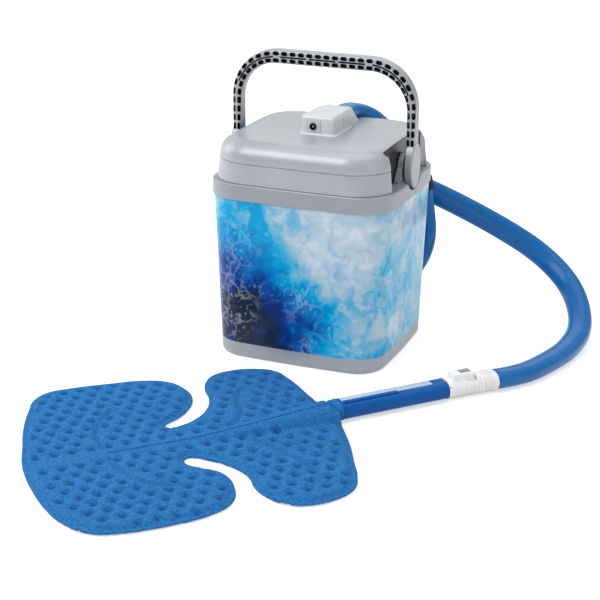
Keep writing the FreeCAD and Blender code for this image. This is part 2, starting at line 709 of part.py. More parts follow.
def make_jack_plate():
    """Square plate set flush in the cover's front face, carrying the power jack."""
    hole = cylinder(jack_body_diameter + fit_gap, 4 * cover_wall, Vec(jack_x, cover_front_y - 1, jack_z), Y)
    return jack_plate_blank().cut(hole)


def jack_socket_floor_y():
    return cover_front_y - jack_nut_length + jack_socket_depth


def make_power_jack():
    """Round DC socket: threaded barrel with a thin ring nut outside."""
    face = Vec(jack_x, cover_front_y - jack_nut_length, jack_z)
    barrel = cylinder(jack_body_diameter, jack_body_length, face, Y)
    nut = cylinder(jack_nut_diameter, jack_nut_length, face, Y)
    nut = nut.makeChamfer(jack_nut_chamfer, [e for e in nut.Edges if abs(e.BoundBox.YMax - face.y) < 0.01])
    room = cylinder(jack_socket_diameter, jack_socket_depth + 1,
                    Vec(jack_x, jack_socket_floor_y(), jack_z), -Y)
    return fuse_all([barrel, nut]).cut(room)


def make_jack_pin():
    """Centre contact of the power jack."""
    return cylinder(jack_pin_diameter, jack_pin_length, Vec(jack_x, jack_socket_floor_y(), jack_z), -Y)


# ================================================================ pump
def stem_top_z():
    return plug_bottom_z()


def make_pump_stem():
    """Tube under the lid that holds the motor, with a mounting flange at its top."""
    base = Vec(pump_x, pump_y, stem_bottom_z)
    body = cylinder(stem_diameter, stem_top_z() - stem_bottom_z, base)
    flange = cylinder(stem_flange_diameter, stem_flange_thickness,
                      Vec(pump_x, pump_y, stem_top_z() - stem_flange_thickness))
    bore = cylinder(stem_diameter - 2 * stem_wall, 400, Vec(pump_x, pump_y, stem_bottom_z - 1))
    stem = fuse_all([body, flange]).cut(bore)
    for hole in lumen_holes(stem_bottom_z - 1, stem_top_z() + 1):
        stem = stem.cut(hole)
    return stem


def housing_bottom_z():
    return stem_bottom_z - housing_height


def chamber_floor_z():
    return housing_bottom_z() + housing_floor


def chamber_top_z():
    return chamber_floor_z() + chamber_height


def make_pump_housing():
    """Volute body below the stem: inlet eye, impeller chamber, shaft hole and outlet port."""
    centre = Vec(pump_x, pump_y, housing_bottom_z())
    body = cylinder(stem_diameter, housing_height, centre)
    chamber = cylinder(chamber_diameter, chamber_height, Vec(pump_x, pump_y, chamber_floor_z()))
    eye = cylinder(inlet_diameter, housing_floor + 2, centre - Z)
    shaft_hole = cylinder(shaft_diameter + 1.0, housing_height + 2, Vec(pump_x, pump_y, chamber_floor_z()))
    seal_seat = cylinder(shaft_seal_diameter + fit_gap, shaft_seal_thickness + fit_gap,
                         Vec(pump_x, pump_y, stem_bottom_z - shaft_seal_thickness - fit_gap))
    port_base = Vec(pump_x, pump_y + supply_offset_y, chamber_floor_z() + chamber_height / 2)
    passage = cylinder(lumen_outer - 2 * lumen_wall, housing_height, port_base)
    port = cylinder(lumen_outer + 2 * fit_gap, housing_height, port_base + Z * (chamber_height / 2))
    for tool in (chamber, eye, shaft_hole, seal_seat, passage, port):
        body = body.cut(tool)
    return body


def make_shaft_seal():
    """Lip seal round the shaft in the top of the housing."""
    base = Vec(pump_x, pump_y, stem_bottom_z - shaft_seal_thickness - fit_gap / 2)
    bore = cylinder(shaft_diameter + 2 * shaft_running_clearance, 10, base - Z)
    return cylinder(shaft_seal_diameter, shaft_seal_thickness, base).cut(bore)


def make_strainer():
    """Slotted cup on the pump's inlet that keeps ice chips out."""
    top = housing_bottom_z()
    bottom = top - strainer_height
    cup = cylinder(stem_diameter, strainer_height, Vec(pump_x, pump_y, bottom))
    cup = cup.cut(cylinder(stem_diameter - 2 * strainer_wall, strainer_height,
                           Vec(pump_x, pump_y, bottom + strainer_wall)))
    for i in range(strainer_slot_count):
        slot = box(0, stem_diameter, -strainer_slot_width / 2, strainer_slot_width / 2,
                   bottom + strainer_wall + 1, bottom + strainer_wall + 1 + strainer_slot_height)
        slot.rotate(Vec(0, 0, 0), Z, 360.0 * i / strainer_slot_count)
        slot.translate(Vec(pump_x, pump_y, 0))
        cup = cup.cut(slot)
    return cup


def motor_bottom_z():
    return stem_bottom_z + motor_boss_gap


def make_pump_motor():
    """Sealed motor inside the stem, standing on the housing by its nose ring."""
    centre = Vec(pump_x, pump_y, motor_bottom_z())
    body = cylinder(motor_diameter, motor_length, centre)
    body = body.makeChamfer(1.0, edges_at(body, motor_bottom_z() + motor_length))
    nose = tube(12.0, 2.0, motor_boss_gap + 0.01, Vec(pump_x, pump_y, stem_bottom_z))
    bore = cylinder(shaft_diameter + 2 * shaft_running_clearance, shaft_grip_in_motor + 1, centre)
    return fuse_all([body, nose]).cut(bore)


def make_motor_bracket():
    """Four-legged clip that centres the motor in the stem."""
    z0 = motor_bottom_z() + motor_length * 0.6
    ring = tube(motor_diameter + 2 * fit_gap + 3, 1.5, 6, Vec(pump_x, pump_y, z0))
    inner = stem_diameter / 2 - stem_wall - fit_gap
    legs = []
    for angle in (210, 330, 30, 150):
        leg = box(motor_diameter / 2 + fit_gap + 0.5, inner, -1.2, 1.2, z0, z0 + 6)
        leg.rotate(Vec(0, 0, 0), Z, angle)
        leg.translate(Vec(pump_x, pump_y, 0))
        legs.append(leg)
    riser = cylinder(lumen_outer + 2 * fit_gap, motor_length,
                     Vec(pump_x, pump_y + supply_offset_y, motor_bottom_z()))
    return fuse_all([ring] + legs).cut(riser)


def make_impeller():
    """Closed-back impeller with swept blades."""
    z0 = chamber_floor_z() + 1.2
    centre = Vec(pump_x, pump_y, z0)
    solids = [cylinder(impeller_diameter, impeller_disc_thickness, centre),
              cylinder(impeller_hub_diameter, impeller_disc_thickness + impeller_blade_height, centre)]
    outer = impeller_diameter / 2 - 0.3
    for i in range(impeller_blade_count):
        strip = thick_strip(Vec(impeller_hub_diameter / 2 - 1, 0, 0), Vec(outer * 0.58, -1.9, 0),
                            Vec(outer * 0.88, -6.0, 0), impeller_blade_thickness)
        blade_face = Part.Face(strip)
        blade = blade_face.extrude(Z * impeller_blade_height)
        blade.rotate(Vec(0, 0, 0), Z, 360.0 * i / impeller_blade_count)
        blade.translate(centre + Z * impeller_disc_thickness)
        solids.append(blade)
    bore = cylinder(shaft_diameter, 20, centre - Z)
    return fuse_all(solids).cut(bore)


def thick_strip(start, middle, end, thickness):
    """Closed wire of a strip of even thickness about the arc through three points."""
    circle = Part.Arc(start, middle, end).toShape().Curve
    centre, radius = circle.Center, circle.Radius

    def moved(point, offset):
        return centre + (point - centre).normalize() * (radius + offset)

    inner = [moved(p, -thickness / 2) for p in (start, middle, end)]
    outer = [moved(p, thickness / 2) for p in (end, middle, start)]
    return Part.Wire([Part.Arc(*inner).toShape(), Part.LineSegment(inner[2], outer[0]).toShape(),
                      Part.Arc(*outer).toShape(), Part.LineSegment(outer[2], inner[0]).toShape()])


def make_impeller_shaft():
    """Steel shaft from the motor into the impeller."""
    z0 = chamber_floor_z() + 1.2
    return cylinder(shaft_diameter, motor_bottom_z() + shaft_grip_in_motor - z0, Vec(pump_x, pump_y, z0))


def bent_lumen(points):
    """Hollow water tube along a bent path."""
    outer, _, _ = round_tube(points, lumen_outer, lumen_elbow_radius)
    inner, _, _ = round_tube(points, lumen_outer - 2 * lumen_wall, lumen_elbow_radius)
    return outer.cut(inner)


def make_supply_tube():
    """Riser from the pump housing up through the lid and back to the hose."""
    (x, y), _ = tube_stations()
    socket_z = chamber_top_z() + fit_gap
    return bent_lumen([(x, y, socket_z), (x, y, boot_start.z), (x, boot_start.y - fit_gap, boot_start.z)])


def make_return_tube():
    """Tube from the hose down through the lid to a spout over the ice."""
    _, (x, y) = tube_stations()
    spout_z = plug_bottom_z() - return_spout_drop
    return bent_lumen([(x, y, spout_z), (x, y, boot_start.z), (x, boot_start.y - fit_gap, boot_start.z)])


# ================================================================ hose
def boot_wire(centre, heading, width, height):
    """Flat-oval section of the boot, square to its heading."""
    side = heading.cross(Z).normalize()
    up = side.cross(heading).normalize()
    return stadium_face(width, height, centre, side, up).OuterWire


def make_hose_boot():
    """Flattened end of the sleeve, from inside the cover over the lid's rear edge to the hose."""
    tip, after = Vec(*hose_points[0]), Vec(*hose_points[1])
    turn = boot_start + Y * boot_straight
    inside = Part.Face(boot_wire(boot_start, Y, boot_width, boot_height)).extrude(Y * boot_straight)
    end = boot_wire(tip, (after - tip).normalize(), hose_diameter + boot_tip_flat, hose_diameter)
    bend = Part.makeLoft([boot_wire(turn, Y, boot_width, boot_height), boot_wire(*boot_middle), end],
                         True, False)
    return fuse_all([inside, bend])


def make_hose():
    """Insulated hose, one plain solid from the boot to the coupling."""
    solid, length, radii = round_tube(hose_points, hose_diameter)
    area = math.pi * hose_diameter ** 2 / 4
    print("hose length %.0f mm, volume / (section x length) %.4f" % (length, solid.Volume / (area * length)))
    print("hose bend radii", [round(r) for r in radii])
    return solid


def make_hose_strap():
    """Fabric band round the hose behind the cooler, on the middle of one run."""
    start, end = Vec(*hose_points[strap_run]), Vec(*hose_points[strap_run + 1])
    heading = (end - start).normalize()
    base = (start + end) * 0.5 - heading * (strap_width / 2)
    outer = hose_diameter + 2 * (strap_clearance + strap_thickness)
    return tube(outer, strap_thickness, strap_width, base, heading)


# ================================================================ coupling
def coupling_frame():
    """Directions along the coupling towards the pad, across it, and up."""
    angle = math.radians(coupling_heading)
    along = Vec(math.cos(angle), math.sin(angle), 0)
    return along, Z.cross(along), Z


def coupling_bar(start, length, width, height):
    """Flat-oval bar from a distance along the coupling."""
    along, across, up = coupling_frame()
    return stadium_face(width, height, coupling_end + along * start, across, up).extrude(along * length)


def coupling_box(start, length, width, z0, z1, shift=0.0):
    """Block on the coupling: along it, centred across it, between two heights over its axis."""
    along, across, up = coupling_frame()
    corner = coupling_end + along * start - across * (width / 2) + across * shift + up * z0
    reach, side = along * length, across * width
    points = [corner, corner + reach, corner + reach + side, corner + side, corner]
    return Part.Face(Part.makePolygon(points)).extrude(up * (z1 - z0))


def ribbed_bar(start, length, first_rib, last_rib):
    """Flat-oval body with grip ribs between two distances."""
    body = coupling_bar(start, length, coupling_width, coupling_height)
    count = int((last_rib - first_rib) / rib_pitch)
    grooves = []
    for i in range(count):
        at = first_rib + i * rib_pitch
        ring = coupling_bar(at, rib_gap, coupling_width + 4, coupling_height + 4).cut(
            coupling_bar(at, rib_gap, coupling_width - 2 * rib_depth, coupling_height - 2 * rib_depth))
        grooves.append(ring)
    return body.cut(Part.makeCompound(grooves))


def port_cylinders(start, length, diameter):
    along, across, _ = coupling_frame()
    return [cylinder(diameter, length, coupling_end + along * start + across * (s * lumen_spacing / 2), along)
            for s in (-1, 1)]


def make_coupling_socket():
    """Hose half: smooth lip, grip ribs and two blind ports for the plug's spigots."""
    body = ribbed_bar(0, socket_length, socket_lip, socket_length - 1.5)
    port_room = port_diameter + 2 * port_clearance
    for port in port_cylinders(socket_length - port_length - 2, port_length + 3, port_room):
        body = body.cut(port)
    return body


def plug_start():
    return socket_length + coupling_split


def latch_top():
    """Height of the latch block's top over the coupling's axis."""
    return coupling_height / 2 + latch_block_height


def latch_block():
    block = coupling_box(plug_start() + latch_block_start, latch_block_length, latch_block_width,
                         0, latch_top())
    return block.makeFillet(latch_block_radius, edges_at(block, coupling_end.z + latch_top()))


def latch_well():
    """Well for the button, open at the top and at the block's end towards the hose."""
    gap = latch_button_clearance
    lead = latch_block_radius
    return coupling_box(plug_start() + latch_block_start - lead, latch_button_length + gap + lead,
                        latch_button_width + 2 * gap, latch_well_z, latch_top() + 1)


def catch_slots():
    """L-shaped slot in the body round the latch block's free end."""
    start = plug_start() + latch_block_start - catch_slot_lead - catch_slot_width
    low, high = coupling_height / 2 - catch_slot_depth, coupling_height / 2 + 1
    edge = latch_block_width / 2 + catch_slot_width / 2
    cross = coupling_box(start, catch_slot_width, latch_block_width + catch_slot_width, low, high,
                         catch_slot_width / 2)
    leg = coupling_box(start, catch_slot_length, catch_slot_width, low, high, edge)
    return [cross, leg]


def make_coupling_plug():
    """Pad half: ribbed body, raised latch block with the button's well, and two spigots."""
    start = plug_start()
    body = ribbed_bar(start, plug_length, start + 2.0, start + plug_length - 3.0)
    body = fuse_all([body.cut(Part.makeCompound(catch_slots())), latch_block()]).cut(latch_well())
    body = fuse_all([body] + port_cylinders(start - port_length, port_length + 3, port_diameter))
    bore = port_diameter - 2 * spigot_wall
    tools = port_cylinders(start - port_length - 1, port_length + plug_length - sleeve_overlap + 1, bore)
    tools += seal_rings(port_diameter + 2, 0)
    tools.append(coupling_bar(start + plug_length - sleeve_overlap, sleeve_overlap + 1,
                              sleeve_width + 2 * seat_gap, sleeve_height + 2 * seat_gap))
    for tool in tools:
        body = body.cut(tool)
    return body


def seal_rings(outer_diameter, gap):
    """Rings in the grooves near the spigots' tips, narrowed by a gap on each side."""
    _, across, _ = coupling_frame()
    start = plug_start() - port_length + seal_from_tip + gap
    width = seal_ring_width - 2 * gap
    inner = port_diameter - 2 * seal_groove_depth
    return [ring.cut(core) for ring, core in zip(port_cylinders(start, width, outer_diameter),
                                                 port_cylinders(start, width, inner))]


def make_port_seals():
    """Two seal rings that close the spigots in the socket's ports."""
    outer = port_diameter + 2 * (port_clearance - seal_running_clearance)
    return Part.makeCompound(seal_rings(outer, seat_gap))


def make_latch_button():
    """Thumb button that frees the plug; it sinks into the latch block."""
    top = latch_top() - latch_button_sink
    button = coupling_box(plug_start() + latch_block_start, latch_button_length, latch_button_width,
                          top - latch_button_height, top)
    return button.makeFillet(latch_button_radius, edges_at(button, coupling_end.z + top))


def make_latch_spring():
    """Coil that lifts the latch button."""
    along, _, up = coupling_frame()
    room = latch_top() - latch_button_sink - latch_button_height - latch_well_z
    height = room - spring_wire - 2 * seat_gap
    coil = Part.makeHelix(height / spring_turns, height, spring_radius)
    profile = Part.Wire([Part.Circle(Vec(spring_radius, 0, 0), Y, spring_wire / 2).toShape()])
    spring = Part.Wire(coil.Edges).makePipeShell([profile], True, True)
    centre = plug_start() + latch_block_start + latch_button_length / 2
    spring.translate(coupling_end + along * centre + up * (latch_well_z + spring_wire / 2 + seat_gap))
    return spring


# ================================================================ pad
def sleeve_frame():
    """The flat tube's start in the plug, where it turns, and its heading, side and upright from there."""
    along, _, _ = coupling_frame()
    start = coupling_end + along * (plug_start() + plug_length - sleeve_overlap + seat_gap)
    turn = start + along * (sleeve_overlap + sleeve_straight)
    heading = (collar_end - turn).normalize()
    side = Z.cross(heading).normalize()
    return start, turn, heading, side, heading.cross(side)


def make_pad_tube():
    """Flat-oval sleeved tube from the coupling to the pad, with a slight turn past the plug."""
    _, across, up = coupling_frame()
    start, turn, _, _, _ = sleeve_frame()
    path, _ = bent_path([start, turn, collar_end])
    profile = stadium_face(sleeve_width, sleeve_height, start, across, up).OuterWire
    return path.makePipeShell([profile], True, False)


def make_tube_label():
    """Blank strip on the top of the tube."""
    _, turn, heading, side, upright = sleeve_frame()
    origin = turn + heading * label_start + upright * (sleeve_height / 2 + seat_gap)
    half, reach = side * (label_width / 2), heading * label_length
    points = [origin - half, origin + reach - half, origin + reach + half, origin + half, origin - half]
    return Part.Face(Part.makePolygon(points)).extrude(upright * label_thickness)


def pad_point(s, t):
    """A point of the pad's own frame in the world."""
    angle = math.radians(pad_heading)
    along = Vec(math.cos(angle), math.sin(angle), 0)
    across = Z.cross(along)
    return pad_origin + along * s + across * t


def make_pad():
    """The whole pad as one plain solid with its lobes and side notches."""
    corners = [(pad_point(s, t), radius) for s, t, radius in pad_outline]
    return Part.Face(rounded_outline(corners)).extrude(Z * pad_thickness)


def make_pad_cuff():
    """Fabric cuff bound round the tube where it enters the pad."""
    _, _, heading, side, upright = sleeve_frame()
    base = collar_end - heading * cuff_length
    outer = stadium_face(sleeve_width + 2 * cuff_side_wall, sleeve_height + 2 * cuff_top_wall,
                         base, side, upright)
    inner = stadium_face(sleeve_width + 2 * cuff_gap, sleeve_height + 2 * cuff_gap, base, side, upright)
    return outer.cut(inner).extrude(heading * cuff_length)


# ================================================================ bail
def bail_outline(leg_x, bar_z, radius):
    """Arch in the XZ plane: two legs up from the pivots, round corners and the bar."""
    corner = Vec(leg_x, 0, bar_z)
    start, middle, end = corner_arc(Vec(leg_x, 0, pivot_z), corner, Vec(0, 0, bar_z), radius)
    mirror = [Vec(-p.x, p.y, p.z) for p in (end, middle, start)]
    return [Part.LineSegment(Vec(leg_x, 0, pivot_z), start).toShape(), Part.Arc(start, middle, end).toShape(),
            Part.LineSegment(end, mirror[0]).toShape(), Part.Arc(*mirror).toShape(),
            Part.LineSegment(mirror[2], Vec(-leg_x, 0, pivot_z)).toShape()]


def bail_arch():
    """Solid arch with soft edges, thicker at the bar than at the legs."""
    outer = bail_outline(bail_leg_outer_x, bail_bar_top_z, bail_outer_radius)
    inner = bail_outline(bail_leg_inner_x, bail_bar_bottom_z, bail_inner_radius)
    right_foot, left_foot = [Part.LineSegment(Vec(side * bail_leg_inner_x, 0, pivot_z),
                                              Vec(side * bail_leg_outer_x, 0, pivot_z)).toShape()
                             for side in (RIGHT, LEFT)]
    wire = Part.Wire(outer + [left_foot] + inner[::-1] + [right_foot])
    arch = Part.Face(wire).extrude(Y * bail_depth)
    arch.translate(Y * (-bail_depth / 2))
    rims = [e for e in arch.Edges if e.BoundBox.YLength < 0.01 and e.BoundBox.ZMax > pivot_z + 1]
    return arch.makeFillet(bail_edge_radius, rims)


def bail_ear():
    """Right ear: an oval disc with its snap-in pivot pin."""
    oval = Part.Ellipse(Vec(0, 0, 0), ear_half_height, ear_half_width)
    face = Part.Face(Part.Wire([oval.toShape()]))
    disc = face.extrude(Z * (ear_outer_x - ear_inner_x))
    disc = disc.makeFillet(ear_edge_radius, edges_at(disc, ear_outer_x - ear_inner_x))
    disc.rotate(Vec(0, 0, 0), Y, 90)
    disc.translate(Vec(ear_inner_x, 0, pivot_z))
    pin = cylinder(pivot_pin_diameter, ear_inner_x - post_inner_x + 1, Vec(post_inner_x, 0, pivot_z), X)
    return fuse_all([disc, pin])


def bail_stations(pitch, start_length):
    """Points, outward directions and bar share along the bail's centre line, right foot to left foot."""
    leg_x = (bail_leg_inner_x + bail_leg_outer_x) / 2
    bar_z = (bail_bar_bottom_z + bail_bar_top_z) / 2
    radius = (bail_inner_radius + bail_outer_radius) / 2
    wire = Part.Wire(bail_outline(leg_x, bar_z, radius))
    count = int((wire.Length - 2 * start_length) / pitch)
    first = (wire.Length - count * pitch) / 2
    stations = []
    for i in range(count + 1):
        at = first + i * pitch
        for edge in wire.Edges:
            if at <= edge.Length:
                break
            at -= edge.Length
        parameter = edge.getParameterByLength(at)
        tangent = edge.tangentAt(parameter).normalize()
        outward = Y.cross(tangent)
        point = edge.valueAt(parameter)
        if outward.dot(point - Vec(0, 0, pivot_z)) < 0:
            outward = outward * -1
        share = min(1.0, max(0.0, (point.z - pocket_first_z) / (bar_z - pocket_first_z)))
        stations.append((point, outward, share))
    return stations


def bail_pockets():
    """Two rows of oval core pockets in the bail's front face, long along the bail."""
    front = -bail_depth / 2 - 1
    tools = []
    for point, outward, share in bail_stations(pocket_pitch, pocket_first_z - pivot_z):
        width = pocket_width_leg + share * (pocket_width_bar - pocket_width_leg)
        offset = row_offset_leg + share * (row_offset_bar - row_offset_leg)
        for side in (-1, 1):
            centre = point + outward * (side * offset)
            mouth = Vec(centre.x, front, centre.z)
            oval = stadium_face(pocket_length, width, mouth, outward.cross(Y), outward)
            tools.append(oval.extrude(Y * (pocket_depth + 1)))
    return Part.makeCompound(tools)


def bail_slots():
    """Long narrow dashes between the rows, on the bar and round its corners."""
    bar_z = (bail_bar_bottom_z + bail_bar_top_z) / 2
    radius = (bail_inner_radius + bail_outer_radius) / 2
    centre_x = (bail_leg_inner_x + bail_leg_outer_x) / 2 - radius
    front = -bail_depth / 2 - 1
    slot_length = (2 * (centre_x - slot_end_gap) - (slot_count - 1) * slot_gap) / slot_count
    tools = []
    for i in range(slot_count):
        x = (i - (slot_count - 1) / 2) * (slot_length + slot_gap)
        tools.append(box(x - slot_length / 2, x + slot_length / 2, front, front + slot_depth + 1,
                         bar_z - slot_width / 2, bar_z + slot_width / 2))
    angles = [math.radians(a) for a in corner_slot_angles]
    for side in (LEFT, RIGHT):
        on_arc = [Vec(side * (centre_x + radius * math.cos(a)), front, bar_z - radius + radius * math.sin(a))
                  for a in angles]
        strip = Part.Face(thick_strip(*on_arc, slot_width))
        tools.append(strip.extrude(Y * (slot_depth + 1)))
    return Part.makeCompound(tools)


def make_bail():
    """Carrying bail with its ears, pivot pins and cored front."""
    ear = bail_ear()
    bail = fuse_all([bail_arch(), ear, mirrored_x(ear)])
    return bail.cut(bail_pockets()).cut(bail_slots())


# ================================================================ output
PIECES = {
    "outer_shell": make_outer_shell,
    "wrap_sleeve": make_wrap_sleeve,
    "foam_jacket": make_foam_jacket,
    "ice_liner": make_liner,
    "rim_collar": make_rim_collar,
    "lid_top": make_lid_top,
    "lid_underside": make_lid_underside,
    "lid_foam": make_lid_foam,
    "lid_gasket": make_lid_gasket,
    "lid_screws": make_lid_screws,
    "pump_cover": make_pump_cover,
    "jack_plate": make_jack_plate,
    "power_jack": make_power_jack,
    "jack_pin": make_jack_pin,
    "pump_stem": make_pump_stem,
    "pump_housing": make_pump_housing,
    "shaft_seal": make_shaft_seal,
    "strainer": make_strainer,
    "pump_motor": make_pump_motor,
    "motor_bracket": make_motor_bracket,
    "impeller": make_impeller,
    "impeller_shaft": make_impeller_shaft,
    "supply_tube": make_supply_tube,
    "return_tube": make_return_tube,
    "hose_boot": make_hose_boot,
    "hose": make_hose,
    "hose_strap": make_hose_strap,
    "coupling_socket": make_coupling_socket,
    "coupling_plug": make_coupling_plug,
    "port_seals": make_port_seals,
    "latch_button": make_latch_button,
    "latch_spring": make_latch_spring,
    "pad_tube": make_pad_tube,
    "tube_label": make_tube_label,
    "pad_cuff": make_pad_cuff,
    "knee_pad": make_pad,
    "bail": make_bail,
}


def main():
    os.makedirs("parts", exist_ok=True)
    for name, make in PIECES.items():
        shape = make()
        if not shape.isValid():
            print("invalid:", name)
        shape.exportStep("parts/%s.step" % name)


main()
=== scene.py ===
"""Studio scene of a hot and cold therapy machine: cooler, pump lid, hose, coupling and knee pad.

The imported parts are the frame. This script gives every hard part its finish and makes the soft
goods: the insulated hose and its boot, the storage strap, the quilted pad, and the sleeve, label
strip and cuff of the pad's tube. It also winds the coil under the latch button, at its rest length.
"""

import json
import logging
import math
from dataclasses import dataclass, field, replace
from enum import Enum
from functools import cached_property

import bmesh
import bpy
from bmesh.types import BMEdge, BMesh, BMVert
from bpy.types import Material, Node, NodeSocket, Object, World
from mathutils import Matrix, Vector
from mathutils.geometry import interpolate_bezier
from mathutils.kdtree import KDTree

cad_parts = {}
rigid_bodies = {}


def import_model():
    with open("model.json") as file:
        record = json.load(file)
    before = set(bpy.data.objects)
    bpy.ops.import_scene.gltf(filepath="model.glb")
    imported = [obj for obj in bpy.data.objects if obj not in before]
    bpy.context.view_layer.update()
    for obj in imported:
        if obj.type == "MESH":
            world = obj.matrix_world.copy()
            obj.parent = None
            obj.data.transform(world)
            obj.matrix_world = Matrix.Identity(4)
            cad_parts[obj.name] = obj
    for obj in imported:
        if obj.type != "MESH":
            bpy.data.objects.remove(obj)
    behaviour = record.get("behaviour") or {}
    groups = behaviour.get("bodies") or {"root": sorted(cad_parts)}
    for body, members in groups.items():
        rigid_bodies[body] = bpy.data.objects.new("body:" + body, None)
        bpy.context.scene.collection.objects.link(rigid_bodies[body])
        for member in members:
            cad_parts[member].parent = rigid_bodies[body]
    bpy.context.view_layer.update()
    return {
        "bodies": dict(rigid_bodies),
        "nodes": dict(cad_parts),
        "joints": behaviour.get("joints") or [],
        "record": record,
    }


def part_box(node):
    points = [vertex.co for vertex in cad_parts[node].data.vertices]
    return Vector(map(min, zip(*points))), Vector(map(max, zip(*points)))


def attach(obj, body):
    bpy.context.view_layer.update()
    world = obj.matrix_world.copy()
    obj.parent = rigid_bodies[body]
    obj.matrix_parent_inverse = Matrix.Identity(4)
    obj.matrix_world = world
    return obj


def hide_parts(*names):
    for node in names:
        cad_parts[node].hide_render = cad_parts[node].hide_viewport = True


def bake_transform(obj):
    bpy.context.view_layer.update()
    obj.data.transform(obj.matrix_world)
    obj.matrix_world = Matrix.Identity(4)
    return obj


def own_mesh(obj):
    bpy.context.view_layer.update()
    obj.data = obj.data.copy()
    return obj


LOG = logging.getLogger("therapy_machine")
MM = 0.001
Point = tuple[float, float, float]
UPWARD = Vector((0.0, 0.0, 1.0))


class Body(Enum):
    """Moving bodies that a piece can ride on."""

    TUB = "tub"
    LID = "lid"
    PAD = "pad_set"


class Slot(Enum):
    """Finish slots of the record that the new pieces use."""

    HOSE = "hose_fabric"
    STRAP = "strap_fabric"
    LABEL = "label_strip"
    PAD = "pad_fabric"
    STEEL = "steel"


# ------------ material helpers
def linear(hex_colour: str) -> tuple[float, float, float, float]:
    """Turns an sRGB hex colour into the linear colour that a shader takes.

    Args:
        hex_colour: Colour such as "#A0B0C0".

    Returns:
        Linear red, green, blue and an alpha of 1.
    """
    channels = [int(hex_colour[i : i + 2], 16) / 255 for i in (1, 3, 5)]
    red, green, blue = [c / 12.92 if c <= 0.04045 else ((c + 0.055) / 1.055) ** 2.4 for c in channels]
    return red, green, blue, 1.0


def shifted(hex_colour: str, factor: float) -> str:
    """Gives a hex colour made lighter or darker by a factor on each channel."""
    channels = [min(255, round(int(hex_colour[i : i + 2], 16) * factor)) for i in (1, 3, 5)]
    return "#%02X%02X%02X" % tuple(channels)


class Graph:
    """The node tree of a material or of the world, cleared of its first nodes."""

    def __init__(self, owner: Material | World) -> None:
        """Takes a node tree.

        Args:
            owner: Material or world that the tree belongs to.
        """
        owner.use_nodes = True
        self.tree = owner.node_tree
        self.tree.nodes.clear()

    def add(self, kind: str, settings: dict | None = None) -> Node:
        """Adds a node with its settings and links.

        Args:
            kind: Blender's name of the node type, without its first word, ShaderNode, and the
                node's operation where it has one.
            settings: Properties and sockets by name or number. A value is plain, or an output to
                link, or a node whose first output to link; "stops" holds a ramp's colours.

        Returns:
            The new node.
        """
        kind, _, operation = kind.partition(" ")
        node = self.tree.nodes.new(f"ShaderNode{kind}")
        if operation:
            node.operation = operation
        for key, value in (settings or {}).items():
            if isinstance(value, Node):
                value = next(output for output in value.outputs if output.enabled)
            if isinstance(value, NodeSocket):
                self.tree.links.new(value, node.inputs[key])
            elif key == "stops":
                elements = node.color_ramp.elements
                while len(elements) < len(value):
                    elements.new(0.5)
                for element, (position, _) in zip(elements, value):
                    element.position = position
                for element, (_, colour) in zip(elements, value):
                    element.color = linear(colour)
            elif isinstance(key, str) and key not in node.inputs:
                setattr(node, key, value)
            else:
                node.inputs[key].default_value = value
        return node

    @cached_property
    def place(self) -> NodeSocket:
        """Gives the coordinates of the object, in metres."""
        return self.add("TexCoord").outputs["Object"]

    def sized(self, size_mm: float) -> dict:
        """Gives the place and scale of a texture whose largest features have a real size."""
        return {"Vector": self.place, "Scale": 1 / (size_mm * MM)}

    def cover(self, base: Node | NodeSocket, mask: Node | NodeSocket, hex_colour: str) -> NodeSocket:
        """Gives a base colour with a second colour laid over it where a mask is 1."""
        mix = {"data_type": "RGBA", 0: mask, 6: base, 7: linear(hex_colour)}
        return self.add("Mix", mix).outputs[2]


